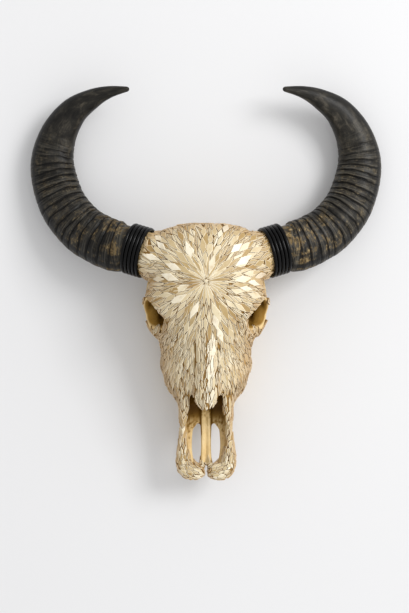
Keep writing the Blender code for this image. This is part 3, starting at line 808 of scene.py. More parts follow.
class Seed:
    """The middle of a chip: place, normal, heading, and half its length and width."""

    def __init__(self, place, normal, heading, length, width):
        self.place = place
        self.normal = normal
        self.heading = (heading - normal * heading.dot(normal)).normalized()
        self.across = normal.cross(self.heading).normalized()
        self.half_length = length / 2
        self.half_width = width / 2
        self.weight = random.uniform(*WEIGHTS)
        self.on_top = random.random() < SHARE_ON_TOP
        self.white = False
        self.measure = (outer(self.heading) * self.half_length ** -2
                        + outer(self.across) * self.half_width ** -2)

    def reach(self, offset):
        """How far an offset is in this chip's own sizes: 2 is the next chip in the ring."""
        return math.hypot(offset.dot(self.heading) / self.half_length,
                          offset.dot(self.across) / self.half_width,
                          offset.dot(self.normal) / self.half_width)

    def fits(self):
        """Whether a lozenge of this size lies on the bone, with no point in the air."""
        for step in (self.heading * self.half_length, self.across * self.half_width,
                     self.heading * -self.half_length, self.across * -self.half_width):
            if near_brow(self.place) and past_brow(self.place + step) > 0:
                continue
            corner, normal, _, distance = surface.find_nearest(self.place + step * 0.9)
            if distance > STAND_OFF_SHARE * self.half_length + STAND_OFF:
                return False
            if normal.dot(self.normal) < LEAST_AGREEMENT:
                return False
            low = corner.z < CHIPS_LOWER_EDGE and corner.y > -0.24
            if low and not is_tiled(corner, normal):
                return False
        return True


CELL = 0.04
grid = {}
seeds = []


def cell_of(place):
    return tuple(math.floor(value / CELL) for value in place)


def add_seed(seed):
    seeds.append(seed)
    grid.setdefault(cell_of(seed.place), []).append(seed)


def is_clear(seed, gap):
    """Whether no chip but a large white one is nearer than a gap, in either's own sizes."""
    x, y, z = cell_of(seed.place)
    for dx in (-1, 0, 1):
        for dy in (-1, 0, 1):
            for dz in (-1, 0, 1):
                for other in grid.get((x + dx, y + dy, z + dz), ()):
                    offset = other.place - seed.place
                    if other.white or other.normal.dot(seed.normal) < 0.2:
                        continue
                    if seed.reach(offset) < gap or other.reach(offset) < gap:
                        return False
    return True


# %% The largest white chips, where they catch the eye: x, y and turn from the ray, in degrees
WHITE_CHIPS = (
    (0.0174, -0.0740, -3), (0.0255, -0.0980, 6), (0.0690, 0.0385, 4), (0.0560, 0.0620, -8),
    (0.0680, 0.0040, 6), (0.0810, 0.0150, -10), (0.0735, -0.0130, 4), (0.0900, -0.0250, 2),
    (-0.0600, 0.0270, 3), (-0.0670, 0.0080, -12), (-0.0450, -0.0125, 5), (-0.1020, 0.0460, 8),
    (-0.0300, 0.0560, -6), (0.0115, 0.0330, 2),
)
WHITE_CHIP = (0.0345, 0.0125)
LARGER = (0.78, 1.12)
WIDER = (0.75, 1.10)

random.seed(11)
for x, y, twist in WHITE_CHIPS:
    place, normal, _, _ = surface.ray_cast(Vector((x, y, 0.5)), Vector((0, 0, -1)))
    heading = Matrix.Rotation(math.radians(twist), 3, "Z") @ (place - STAR)
    length = WHITE_CHIP[0] * random.uniform(*LARGER)
    width = WHITE_CHIP[1] * random.uniform(*WIDER)
    seed = Seed(place, normal, heading, length, width)
    seed.on_top = seed.white = True
    add_seed(seed)

# %% Rays walked over the skull
WALK_STEP = 0.001
RAYS = 28
# Each band of rings: how often the rays have doubled, and the length from the star to each ring
BANDS = (
    (0, (0.024, 0.046, 0.063)),
    (1, (0.080, 0.097, 0.114, 0.131)),
    (2, tuple(0.147 + 0.0155 * ring for ring in range(3))),
    (3, tuple(0.1935 + 0.0155 * ring for ring in range(12))),
)
MOST_DOUBLED = 3
# The chips of the first rings are longer, and their points lie true
STAR_CHIPS = (0.048, 0.040, 0.040)
STAR_JITTER = 0.02
RAY_JITTER = 0.16
RAY_TWIST = 0.07
RAYS_END = -0.243
WIDEST = 1.35
NARROWEST_SHARE = 0.1
RING_GAP = 0.95
lines = RAYS * 2 ** (MOST_DOUBLED + 1)


def walk(start, heading, length):
    """Points, normals and headings at even steps along a straight line over the skull."""
    point, normal, _, _ = surface.find_nearest(start)
    line = []
    for _ in range(int(length / WALK_STEP)):
        heading = (heading - normal * heading.dot(normal)).normalized()
        line.append((point, normal, heading))
        point, normal, _, _ = surface.find_nearest(point + heading * WALK_STEP)
    return line


longest = BANDS[-1][1][-1] + WALK_STEP
turns = [math.tau * index / lines for index in range(lines)]
walked = [walk(STAR, Vector((math.sin(turn), -math.cos(turn), 0)), longest) for turn in turns]
ring_number = 0
for doubled, lengths in BANDS:
    stride = lines // (RAYS * 2 ** doubled)
    for length in lengths:
        ring_number += 1
        shift = (ring_number % 2) * stride // 2
        for index in range(shift, lines + shift, stride):
            line = walked[index % lines]
            place, normal, heading = line[int(length / WALK_STEP)]
            beside = walked[(index + stride) % lines][int(length / WALK_STEP)][0]
            size, width = chip_size(place)
            in_star = ring_number <= len(STAR_CHIPS)
            if in_star:
                size = STAR_CHIPS[ring_number - 1]
            width = min((beside - place).length, WIDEST * width)
            if not is_tiled(place, normal) or place.y < RAYS_END or on_nasals(place):
                continue
            if width < NARROWEST_SHARE * size:
                continue
            jitter = RAY_JITTER if ring_number > 1 else STAR_JITTER
            across = normal.cross(heading)
            place = place + heading * random.uniform(-jitter, jitter) * size / 2
            place += across * random.uniform(-jitter, jitter) * width
            place, normal, _, _ = surface.find_nearest(place)
            twist = random.gauss(0, RAY_TWIST) if ring_number > 1 else 0
            seed = Seed(place, normal, heading + across * twist, size, width)
            seed.on_top = seed.on_top and ring_number > 1
            if in_star or (is_clear(seed, RING_GAP) and seed.fits()):
                add_seed(seed)
print("chips on the rays:", len(seeds))

# %% Lanes of narrow chips, straight down the nasals and the premaxillae
NASAL_LANES = ((0.0036, 0.0), (0.0104, 0.5), (0.0172, 0.2))
NASAL_CHIP = (0.0300, 0.0068)
PREMAXILLA_START = Vector((0.0430, -0.2420, 0.0985))
PREMAXILLA_RADII = (0.0135, 0.0230)
PREMAXILLA_LANES = 9
FIRST_LANE_TURN = 108
LANE_TURN = 16
PREMAXILLA_CHIP = (0.0210, 0.0056)
LANE_LENGTH = 0.150
LANE_CHIP_LENGTHS = (0.75, 1.15)


def lay_lane(start, late, chip):
    """Chips one after the other straight down the face, from a start, late by a share of one."""
    line = walk(start, Vector((0, -1, 0)), LANE_LENGTH)
    reach = late * chip[0]
    while reach < LANE_LENGTH:
        place, normal, heading = line[int(reach / WALK_STEP)]
        size = chip[0] * random.uniform(*LANE_CHIP_LENGTHS)
        twist = normal.cross(heading) * random.gauss(0, RAY_TWIST / 2)
        seed = Seed(place, normal, heading + twist, size, chip[1])
        seed.on_top = seed.on_top and not on_nasals(place)
        if is_tiled(place, normal) and is_clear(seed, RING_GAP) and seed.fits():
            add_seed(seed)
        reach += size


for side in (-1, 1):
    for x, late in NASAL_LANES:
        lay_lane(Vector((side * x, NASALS_START - 0.010, 0.200)), late, NASAL_CHIP)
    width, height = PREMAXILLA_RADII
    for lane in range(PREMAXILLA_LANES):
        turn = math.radians(FIRST_LANE_TURN - LANE_TURN * lane)
        offset = Vector((width * math.cos(turn), 0, height * math.sin(turn)))
        lay_lane(mirrored(PREMAXILLA_START + offset, side), lane % 2 / 2, PREMAXILLA_CHIP)
print("with those along the lanes:", len(seeds))

# %% Chips where neither rays nor lanes reach
STAR_RADIUS = 0.05
bone.data.calc_loop_triangles()
bone_verts = bone.data.vertices
triangles = [tri for tri in bone.data.loop_triangles
             if is_tiled(sum((bone_verts[v].co for v in tri.vertices), Vector()) / 3, tri.normal)]
areas = [tri.area for tri in triangles]
print("covered area:", round(sum(areas) * 1e4), "square centimetres")
# Each pass: how much smaller the chips are, how many places are tried, and the gap to others
PASSES = ((1.0, 6000, 1.25), (0.75, 6000, 1.2), (0.55, 8000, 1.2), (0.40, 10000, 1.2))
for smaller, tries, gap in PASSES:
    for triangle in random.choices(triangles, weights=areas, k=tries):
        a, b, c = (bone_verts[v].co for v in triangle.vertices)
        s, t = sorted((random.random(), random.random()))
        place = a * s + b * (t - s) + c * (1 - t)
        if (place - STAR).length < STAR_RADIUS:
            continue
        normal = triangle.normal.copy()
        length, width = chip_size(place)
        seed = Seed(place, normal, chip_heading(place, normal), length * smaller, width * smaller)
        if is_clear(seed, gap) and seed.fits():
            add_seed(seed)
    print("chips of", smaller, "and larger:", len(seeds))

# %% [markdown]
# ## Cutting the chips
#
# Each chip starts as a lozenge on the bone, a little too large. Its neighbours in the same layer
# trim it: part of the way to each of them a plane cuts off what is beyond, and a hair more, which
# leaves the line of grout. The plane leans with the two chips' own length and width, so long chips
# stay long. Most lozenges are then parted lengthwise into slivers, while the large white ones stay
# whole and lie over the rest. Each outline follows the bone and leans a little its own way. At the
# end all chips are raised together: the outlines are extruded, and the lids inset for a worn edge.

# %% Chips cut from lozenges
GROUT = 0.00046
GROUT_AT_STAR = 0.00010
OVERSIZE = (1.45, 1.90)
OVERSIZE_ON_TOP = (1.00, 1.25)
OVERSIZE_ON_NASALS = (2.30, 2.90)
NEIGHBOURS_WITHIN = 3.0
MOST_TURN = 0.35

finder = KDTree(len(seeds))
for index, seed in enumerate(seeds):
    finder.insert(seed.place, index)
finder.balance()


def trim(bm, middle, normal, keep_both=False):
    """Cut a flat chip by a plane, and drop what is beyond it."""
    geometry = bm.verts[:] + bm.edges[:] + bm.faces[:]
    bmesh.ops.bisect_plane(bm, geom=geometry, dist=1e-6, plane_co=middle, plane_no=normal,
                           clear_outer=not keep_both)


def oversize_of(seed):
    """How much larger than its place a chip is cut, least and most: little at the nose's edge."""
    place = seed.place
    if seed.on_top or (-0.245 < place.y < -0.185 and abs(place.x) < 0.050):
        return OVERSIZE_ON_TOP
    return OVERSIZE_ON_NASALS if on_nasals(place) else OVERSIZE


def cut_chip(index, seed):
    """One lozenge trimmed by its neighbours."""
    bm = bmesh.new()
    basis = Matrix((seed.heading, seed.across, seed.normal)).transposed().to_4x4()
    oversize = random.uniform(*oversize_of(seed))
    shape = Matrix.Diagonal((seed.half_length * oversize, seed.half_width * oversize, 1, 1))
    matrix = Matrix.Translation(seed.place) @ basis @ shape
    bmesh.ops.create_circle(bm, cap_ends=True, segments=4, radius=1.0, matrix=matrix)
    reach = NEIGHBOURS_WITHIN * seed.half_length
    for place, other_index, _ in finder.find_range(seed.place, reach):
        other = seeds[other_index]
        if other_index == index or other.normal.dot(seed.normal) < MOST_TURN:
            continue
        if other.on_top != seed.on_top or seed.white:
            continue
        offset = place - seed.place
        normal = (seed.measure + other.measure) @ offset
        normal -= seed.normal * normal.dot(seed.normal)
        if normal.length < 1e-6:
            continue
        normal.normalize()
        share = seed.weight / (seed.weight + other.weight)
        gap = GROUT_AT_STAR if (seed.place - STAR).length < 0.04 else GROUT
        trim(bm, seed.place + offset * share - normal * gap, normal)
        if not bm.faces:
            break
    side = math.copysign(1, seed.place.x)
    if near_brow(seed.place):
        trim(bm, mirrored(BROW_POINT, side), mirrored(BROW_OUT, side))
    border = Vector((side * NASALS_HALF_WIDTH, 0, 0))
    outwards = Vector((side, 0, 0))
    if on_nasals(seed.place):
        trim(bm, Vector(), -outwards)
        trim(bm, border - outwards * GROUT, outwards)
    elif seed.place.y < NASALS_START and seed.place.z > FACE_TOP:
        trim(bm, border + outwards * GROUT, -outwards)
    return bm


# %% Laying a chip on the bone, a little askew
SMALLEST_CHIP = 7e-6
LIFT_ON_TOP = 0.0009
LIFT_SPREAD = 0.0003
# How far a point may hang over the bone's edge, how far it may follow the bone up or down, and how
# much the whole chip leans
OVERHANG = 0.0020
MOST_RISE = 0.003
LEAN = 0.055
MOST_TILT = 0.0009
# Longer chips are bent at these shares of half their length
BENT_FROM = 0.010
BENDS = (-0.5, 0, 0.5)

chips = bmesh.new()
chips.verts.layers.float.new("chip_tone")
chips.verts.layers.float_vector.new("chip_place")
chips.verts.layers.float.new("chip_steep")


def lay_chip(bm, seed, shade, number):
    """Lay a trimmed chip on the bone, and add it to the others."""
    if sum(face.calc_area() for face in bm.faces) < SMALLEST_CHIP:
        bm.free()
        return
    if seed.half_length > BENT_FROM:
        for share in BENDS:
            trim(bm, seed.place + seed.heading * share * seed.half_length, seed.heading, True)
    tones = bm.verts.layers.float.new("chip_tone")
    places = bm.verts.layers.float_vector.new("chip_place")
    steeps = bm.verts.layers.float.new("chip_steep")
    lean = seed.across * random.gauss(0, LEAN) + seed.heading * random.gauss(0, LEAN * 0.6)
    lift = random.gauss(LIFT_ON_TOP if seed.on_top else 0, LIFT_SPREAD)
    for vert in bm.verts:
        offset = vert.co - seed.place
        ground, _, _, _ = surface.find_nearest(vert.co)
        rise = (ground - vert.co).dot(seed.normal)
        sideways = ground - vert.co - seed.normal * rise
        if sideways.length > OVERHANG and not near_brow(vert.co):
            vert.co += sideways * (1 - OVERHANG / sideways.length)
        rise = max(-MOST_RISE, min(MOST_RISE, rise)) * 0.9
        tilt = max(-MOST_TILT, min(MOST_TILT, offset.dot(lean)))
        vert.co += seed.normal * (rise + lift + tilt)
        vert[tones] = shade
        vert[steeps] = 1 - seed.normal.z
        vert[places] = (offset.dot(seed.heading), offset.dot(seed.across), number * 0.1)
    bmesh.ops.recalc_face_normals(bm, faces=bm.faces)
    if next(iter(bm.faces)).normal.dot(seed.normal) < 0:
        bmesh.ops.reverse_faces(bm, faces=bm.faces)
    flat = bpy.data.meshes.new("chip outline")
    bm.to_mesh(flat)
    bm.free()
    chips.from_mesh(flat)
    bpy.data.meshes.remove(flat)


# %% Slivers and shades
# How often a lozenge is one chip, or two or three slivers: on top, on the forehead, down the face
SLIVERS_ON_TOP = (0.78, 0.22, 0.0)
SLIVERS_ABOVE = (0.20, 0.45, 0.35)
SLIVERS_BELOW = (0.15, 0.50, 0.35)
FOREHEAD_ENDS = -0.06
NARROWEST_PARTED = 0.0032
SLANT = 0.22
# How pale the chips are, from 0 to 1
MOST_SHADE = 0.85
WHITE_SHADES = (0.86, 1.00)
PALE_ACCENTS = 0.13
ACCENT_SHADES = (0.85, 1.00)
# The right nasal bone's chips are painted pale and the left one's dark: painted light and painted
# shade on the two slopes of the nasal ridge
RIGHT_NASAL_PAINTED_LIGHT = (0.92, 1.0)
RIGHT_NASAL_EDGE_PAINTED_LIGHT = (0.6, 0.9)
LEFT_NASAL_PAINTED_SHADE = (0.30, 0.72)


def halved(bm, middle, line):
    """A flat chip parted along a line, with grout between."""
    other = bm.copy()
    trim(bm, middle - line * GROUT, line)
    trim(other, middle + line * GROUT, -line)
    return [bm, other]


def slivers_of(bm, seed, count):
    """A lozenge parted lengthwise, each time on a slant of its own."""
    parts = [bm]
    for cut in range(1, count):
        line = (seed.across + seed.heading * random.uniform(-SLANT, SLANT)).normalized()
        share = 2 * cut / count - 1 + random.uniform(-SLANT, SLANT)
        middle = seed.place + seed.across * share * seed.half_width
        parts = [part for bm in parts for part in halved(bm, middle, line)]
    return parts


def shade_of(seed):
    """How pale a chip is: any shade, some nearly white, painted light on the right nasal and shade
    on the left.
    """
    shade = MOST_SHADE * random.random()
    if seed.white:
        return random.uniform(*WHITE_SHADES)
    if seed.on_top and random.random() < PALE_ACCENTS:
        return random.uniform(*ACCENT_SHADES)
    if not on_nasals(seed.place):
        return shade
    # Painted light on the right nasal bone, palest near the middle, and painted shade on the left
    if seed.place.x > 0:
        at_middle = seed.place.x < 0.013
        return random.uniform(*(RIGHT_NASAL_PAINTED_LIGHT if at_middle else RIGHT_NASAL_EDGE_PAINTED_LIGHT))
    return random.uniform(*LEFT_NASAL_PAINTED_SHADE)


# %% Every chip, and a round one where the rays meet
BUTTON_RADIUS = 0.0030
BUTTON_SHADE = 0.80

for index, seed in enumerate(seeds):
    whole = cut_chip(index, seed)
    if not whole.faces:
        continue
    parts = [whole]
    if seed.half_width > NARROWEST_PARTED and not seed.white:
        weights = SLIVERS_BELOW if seed.place.y < FOREHEAD_ENDS else SLIVERS_ABOVE
        if seed.on_top and seed.place.y > FOREHEAD_ENDS:
            weights = SLIVERS_ON_TOP
        count = random.choices((1, 2, 3), weights=weights)[0]
        parts = slivers_of(whole, seed, count)
    for part in parts:
        lay_chip(part, seed, shade_of(seed), index + random.random())

button = bmesh.new()
star_normal = surface.find_nearest(STAR)[1]
bmesh.ops.create_circle(button, cap_ends=True, segments=14, radius=BUTTON_RADIUS,
                        matrix=Matrix.Translation(STAR) @ facing(star_normal))
button_seed = Seed(STAR, star_normal, Vector((0, -1, 0)), 2 * BUTTON_RADIUS, 2 * BUTTON_RADIUS)
lay_chip(button, button_seed, BUTTON_SHADE, len(seeds))
print("chips laid:", len(chips.faces))

# %% Chips raised and their edges worn: the rim is 0 on top, 1 at the edge and 2 at the root
CHIP_THICKNESS = 0.0017
ROOT = 0.0030
WORN_EDGE = 0.0009
EDGE_HEIGHT = 0.0004


def sort_by(elements, key):
    for index, element in enumerate(sorted(elements, key=key)):
        element.index = index
    elements.sort()


rim_layer = chips.verts.layers.float.new("chip_rim")
outlines = chips.faces[:]
for vert in chips.verts:
    vert[rim_layer] = 1.0
chips.normal_update()
ups = [face.normal.copy() for face in outlines]
raised = bmesh.ops.extrude_face_region(chips, geom=outlines, use_keep_orig=True)["geom"]
lids = [item for item in raised if isinstance(item, bmesh.types.BMFace)]
chips.normal_update()
for vert in chips.verts:
    vert.tag = False
for face, up in zip(outlines, ups):
    for vert in face.verts:
        if not vert.tag:
            vert.co -= up * ROOT
            vert[rim_layer] = 2.0
            vert.tag = True
for face in lids:
    for vert in face.verts:
        if not vert.tag:
            vert.co += face.normal * CHIP_THICKNESS
            vert.tag = True
bmesh.ops.inset_region(chips, faces=lids, thickness=WORN_EDGE, depth=EDGE_HEIGHT,
                       use_boundary=True)
for face in lids:
    for vert in face.verts:
        vert[rim_layer] = 0.0
bmesh.ops.recalc_face_normals(chips, faces=chips.faces)
# The raised sides come in no fixed order. Sorted by place, the mesh is the same in each run.
sort_by(chips.verts, lambda vert: vert.co[:])
sort_by(chips.faces, lambda face: face.calc_center_median()[:])
mosaic = new_object("mosaic", chips)
print("mosaic:", sum(len(face.vertices) - 2 for face in mosaic.data.polygons), "triangles")

# %% [markdown]
# ## The cheek teeth
#
# Six grinding teeth a side carry the skull. Each is a column of two rounded lobes, worn flat at the
# level of the floor, with hard rims of enamel standing round the softer hollows of the crown. The
# grid that is rolled for a tooth runs down its side and then in over the crown.

# %% Teeth
TOOTH_LENGTHS = (0.017, 0.020, 0.020, 0.025, 0.028, 0.029)
TOOTH_ROW_FRONT = Vector((0.0465, -0.2340, 0.0))
TOOTH_ROW_BACK = Vector((0.0580, -0.0930, 0.0))
TOOTH_HALF_WIDTH = 0.0108
TOOTH_TOP = 0.034
TOOTH_GROOVE = 0.30
ROOT_SHARE = 0.42
TOOTH_GAP = 0.0006
CROWN_SHARE = 0.45
CROWN_HOLLOW = 0.0022
STAINED_CROWN = 0.006


def add_tooth(bm, side, middle, heading, length):
    across = Vector((heading.y, -heading.x, 0))

    def place(along, around):
        turn = around * math.tau
        lobes = 1 - TOOTH_GROOVE * math.cos(2 * turn - math.pi) ** 2 * abs(math.sin(turn))
        inward = max(0.0, along - (1 - CROWN_SHARE)) / CROWN_SHARE
        down = min(1.0, along / (1 - CROWN_SHARE))
        flutes = 1 + 0.035 * math.cos(8 * turn)
        rounding = 1 - ROOT_SHARE * (1 - down) ** 2 - 0.03 * down - 0.90 * inward ** 1.2
        half_length = (length / 2 - TOOTH_GAP) * power(math.cos(turn), 0.55) * rounding
        half_width = TOOTH_HALF_WIDTH * power(math.sin(turn), 0.50) * lobes * flutes * rounding
        folds = math.sin(inward * math.pi * 3.5) ** 2 * (1 if inward > 0.04 else 0)
        point = middle + heading * half_length + across * half_width
        point.z = TOOTH_TOP * (1 - down) + CROWN_HOLLOW * folds
        return mirrored(point, side), max(0.0, 1 - point.z / STAINED_CROWN)

    roll_grid(bm, 30, 48, place, [bm.verts.layers.float["tooth_crown"]])


teeth = bmesh.new()
teeth.verts.layers.float.new("tooth_crown")
backwards = (TOOTH_ROW_BACK - TOOTH_ROW_FRONT).normalized()
for side in (-1, 1):
    front = 0.0
    for length in TOOTH_LENGTHS:
        middle = TOOTH_ROW_FRONT + backwards * (front + length / 2)
        add_tooth(teeth, side, middle, backwards, length)
        front += length
tooth_piece = new_object("cheek_teeth", teeth)
tooth_piece.data.shade_smooth()
print("teeth:", 2 * len(TOOTH_LENGTHS))

# %% [markdown]
# ## The horns
#
# A buffalo's horn is a cone of black horn bent into a crescent, flatter along its outer edge. It
# grows from the base, so each season leaves a wrinkle across it. The wrinkles are strong on the
# inside of the bend, die out on the outer edge, and stop where the old, smooth tip begins. The base
# is dry and flakes. The grid is rolled round the same line as the plain horn, with many more rings.

# %% The line of a horn
HORN_STATIONS = (
    (0.1646, 0.0676, 0.1014, 0.0477, 0.0400),
    (0.1828, 0.0725, 0.0945, 0.0486, 0.0405),
    (0.2087, 0.0837, 0.0835, 0.0480, 0.0400),
    (0.2450, 0.1080, 0.0650, 0.0472, 0.0390),
    (0.2830, 0.1570, 0.0440, 0.0460, 0.0370),
    (0.3030, 0.2266, 0.0335, 0.0430, 0.0340),
    (0.2930, 0.2853, 0.0385, 0.0368, 0.0290),
    (0.2630, 0.3320, 0.0510, 0.0285, 0.0230),
    (0.2240, 0.3570, 0.0660, 0.0200, 0.0165),
    (0.1880, 0.3695, 0.0780, 0.0118, 0.0105),
    (0.1480, 0.3740, 0.0890, 0.0042, 0.0040),
)
STRAIGHT_BASE = 0.022
HORN_RINGS = 480
HORN_SIDES = 80

horn_base = tuple((*(JOINT + HORN_AXIS * length), BASE_HALF_WIDTH, BASE_HALF_DEPTH)
                  for length in (0.0, STRAIGHT_BASE))
horn_rows = horn_base + HORN_STATIONS
SAMPLES = 60 * (len(horn_rows) - 1)
samples = [spline(horn_rows, step / SAMPLES) for step in range(SAMPLES + 1)]
horn_reach = [0.0]
for last, sample in zip(samples, samples[1:]):
    horn_reach.append(horn_reach[-1] + (Vector(sample[:3]) - Vector(last[:3])).length)
horn_length = horn_reach[-1]
print("horn:", round(horn_length * 1000), "mm along its middle")


def horn_at(length):
    """The row of numbers at a length along the horn."""
    index = min(max(bisect_right(horn_reach, length), 1), SAMPLES)
    low, high = horn_reach[index - 1:index + 1]
    share = (length - low) / (high - low)
    return [a + (b - a) * share for a, b in zip(samples[index - 1], samples[index])]


# %% Its wrinkles
WRINKLE_PITCH = (0.0135, 0.0215)
WRINKLED_SHARE = 0.68
WRINKLE_HEIGHT = 0.0027
WRINKLES_FADE = 0.22
PLAIN_BASE = 0.030
PLAIN_BASE_FADE = 0.020
FLAKED_SHARE = 0.40
FLAKE_HEIGHT = 0.0008
TIP_ROUNDING = 0.0055
# A wrinkle rises over its first share, falls a little, and closes over its last share
RISE_SHARE = 0.18
FALL = 0.30
CLOSE_SHARE = 0.13
GROOVE_DEPTH = 0.98
GROOVE_SPREAD = 0.50
WAVE = 0.0040
SMALL_WAVE = 0.0012
# How much of its wrinkles the outer edge loses, and how uneven the whole horn is
EDGE_SMOOTHED = 0.80
UNEVENNESS = 0.010
PATTERN_RADIUS = 0.045


def wrinkle_starts(seed):
    """Lengths at which a wrinkle begins, a little uneven, as good and bad seasons leave them."""
    draw = random.Random(seed)
    starts = [0.004]
    while starts[-1] < horn_length:
        starts.append(starts[-1] + draw.uniform(*WRINKLE_PITCH))
    return starts


def wrinkle(starts, length, turn):
    """How high the horn stands at a length, from 0 in the groove to 1 on the crest."""
    spot = Vector((1.3 * math.cos(turn), 1.3 * math.sin(turn), 14 * length))
    wavy = length + WAVE * noise.noise(spot) + SMALL_WAVE * noise.noise(spot * 4)
    wavy = max(wavy, starts[0])
    index = min(bisect_right(starts, wavy), len(starts) - 1)
    phase = min(1.0, (wavy - starts[index - 1]) / (starts[index] - starts[index - 1]))
    rise = min(1.0, phase / RISE_SHARE)
    close = min(1.0, (1 - phase) / CLOSE_SHARE)
    season = Vector((math.cos(turn), math.sin(turn), 7.3 * index))
    depth = min(1.0, GROOVE_DEPTH + GROOVE_SPREAD * noise.noise(season))
    return 1 - depth * (1 - rise * (1 - FALL * phase) * close)


def make_horn(name, side, seed):
    bm = bmesh.new()
    layers = [bm.verts.layers.float.new(mark) for mark in ("horn_along", "horn_crest", "horn_edge")]
    layers.append(bm.verts.layers.float_vector.new("horn_grain"))
    starts = wrinkle_starts(seed)
    frames = []
    for ring in range(HORN_RINGS + 1):
        length = horn_length * ring / HORN_RINGS
        x, y, z, width, depth = horn_at(length)
        ahead = Vector(horn_at(min(length + 0.004, horn_length))[:3])
        behind = Vector(horn_at(max(length - 0.004, 0.0))[:3])
        heading = (ahead - behind).normalized() if length > STRAIGHT_BASE else HORN_AXIS
        frames.append((length, Vector((x, y, z)), heading, width, depth))

    def place(along, around):
        length, centre, heading, width, depth = frames[round(along * HORN_RINGS)]
        turn = around * math.tau
        c = math.cos(turn)
        s = math.sin(turn)
        share = length / horn_length
        edge = max(0.0, c) ** 3
        bound = min(1.0, max(0.0, length - PLAIN_BASE) / PLAIN_BASE_FADE)
        fade = max(0.0, min(1.0, (WRINKLED_SHARE - share) / WRINKLES_FADE))
        strength = fade * (1 - EDGE_SMOOTHED * edge) * bound
        crest = wrinkle(starts, length, turn)
        fine = noise.noise(Vector((0.8 * c, 0.8 * s, 420 * length)))
        scale = 1 + strength * (crest - 0.65 + 0.10 * fine) * WRINKLE_HEIGHT * 1.5 / width
        spot = Vector((c * PATTERN_RADIUS, s * PATTERN_RADIUS, length))
        flakes = max(0.0, noise.fractal(spot * 55, 0.8, 2.1, 4) - 0.05)
        flaky = max(0.0, 1 - share / FLAKED_SHARE) * bound
        scale += flaky * flakes * FLAKE_HEIGHT / width * 2.2
        scale += UNEVENNESS * noise.noise(spot * 9)
        left = min(1.0, (horn_length - length) / TIP_ROUNDING)
        scale *= math.sqrt(1 - (1 - left) ** 2)
        point = horn_section(centre, heading, width, depth, turn, scale)
        point.z = max(point.z, 0.0)
        crest = 1 - (1 - crest) * min(1.0, 1.6 * strength)
        return mirrored(point, side), share, crest, edge, (spot.x, spot.y * side, spot.z)

    roll_grid(bm, HORN_RINGS, HORN_SIDES, place, layers)
    horn = new_object(name, bm)
    horn.data.shade_smooth()
    return horn


horns = [make_horn("horn_sheath_left", -1, 5), make_horn("horn_sheath_right", 1, 8)]
print("horn grids:", len(horns[0].data.polygons), "faces each")

# %% [markdown]
# ## The cord bindings
#
# Each horn is held by one smooth black cord wound five times round the joint, turn against turn.
# A round section is rolled along the winding. The two ends dive under the neighbouring turn.

# %% Bindings
CORD_RADIUS = 0.0036
CORD_TURNS = 5
CORD_GAP = 0.0003
TURN_RINGS = 110
TURN_SIDES = 20
TUCKED_SHARE = 0.035
TUCK_DEPTH = 0.0042


def make_binding(name, side):
    bm = bmesh.new()
    layer = bm.verts.layers.float_vector.new("cord_run")
    pitch = 2 * CORD_RADIUS + CORD_GAP

    def middle_at(share):
        tuck = max(0.0, 1 - min(share, 1 - share) / TUCKED_SHARE) ** 2 * TUCK_DEPTH
        turns = share * CORD_TURNS
        reach = CORD_RADIUS + 2 * CORD_GAP - tuck
        centre = JOINT + HORN_AXIS * pitch * (turns - CORD_TURNS / 2)
        return horn_section(centre, HORN_AXIS, BASE_HALF_WIDTH + reach, BASE_HALF_DEPTH + reach,
                            (turns - 0.25) * math.tau)

    def place(along, around):
        ahead = middle_at(min(along + 0.001, 1))
        behind = middle_at(max(along - 0.001, 0))
        heading = (ahead - behind).normalized()
        out = (heading.cross(HORN_AXIS)).normalized()
        up = heading.cross(out)
        c = math.cos(around * math.tau)
        s = math.sin(around * math.tau)
        point = middle_at(along) + (out * c + up * s) * CORD_RADIUS
        return mirrored(point, side), (c, s, along)

    roll_grid(bm, CORD_TURNS * TURN_RINGS, TURN_SIDES, place, [layer])
    binding = new_object(name, bm)
    binding.data.shade_smooth()
    return binding


bindings = [make_binding("cord_left", -1), make_binding("cord_right", 1)]

# %% [markdown]
# ## Finishes
#
# Bone has no single colour. Where it is bare it is ochre and smooth. Deep inside a hollow it is
# painted browner, which is painted shade, and there it mirrors less of the room. Under the chips it
# is brown with old glue. How deep a point lies is worked out once: a few short rays are sent out
# from it, and the share that meets bone is kept on the mesh; the finish paints shade from it. The
# nose and the sockets are marked by their place as well.

# %% Marks on the bone: how deep a point lies, and whether it is under the chips
DEPTH_RAYS = 12
DEPTH_REACH = 0.085
SOCKET_DEPTH = 0.042
# The nose: its half width and its levels, where it ends behind, where the painted shade begins
# under the nasals and beside them, and over what length it deepens
NOSE_HALF_WIDTH = 0.0375
NOSE_BOTTOM = 0.066
NOSE_TOP = 0.138
NOSE_END = -0.13
DARK_UNDER_NASALS = -0.258
DARK_BESIDE_NASALS = -0.292
DARK_LENGTH = 0.060


def spread(count):
    """Directions spread evenly over the upper half of a ball."""
    golden = math.pi * (3 - math.sqrt(5))
    directions = []
    for index in range(count):
        z = 0.25 + 0.70 * (index + 0.5) / count
        across = math.sqrt(1 - z * z)
        turn = golden * index
        directions.append(Vector((math.cos(turn) * across, math.sin(turn) * across, z)))
    return directions


def nose_depth(point):
    """How far behind the tips of the nasals a point inside the nose lies, from 0 to 1, painted as
    shade.
    """
    x = abs(point.x)
    if x > NOSE_HALF_WIDTH or not NOSE_BOTTOM < point.z < NOSE_TOP or point.y > NOSE_END:
        return 0.0
    front = DARK_UNDER_NASALS if x < 0.0105 else DARK_BESIDE_NASALS
    return max(0.0, min(0.9, (point.y - front) / DARK_LENGTH))


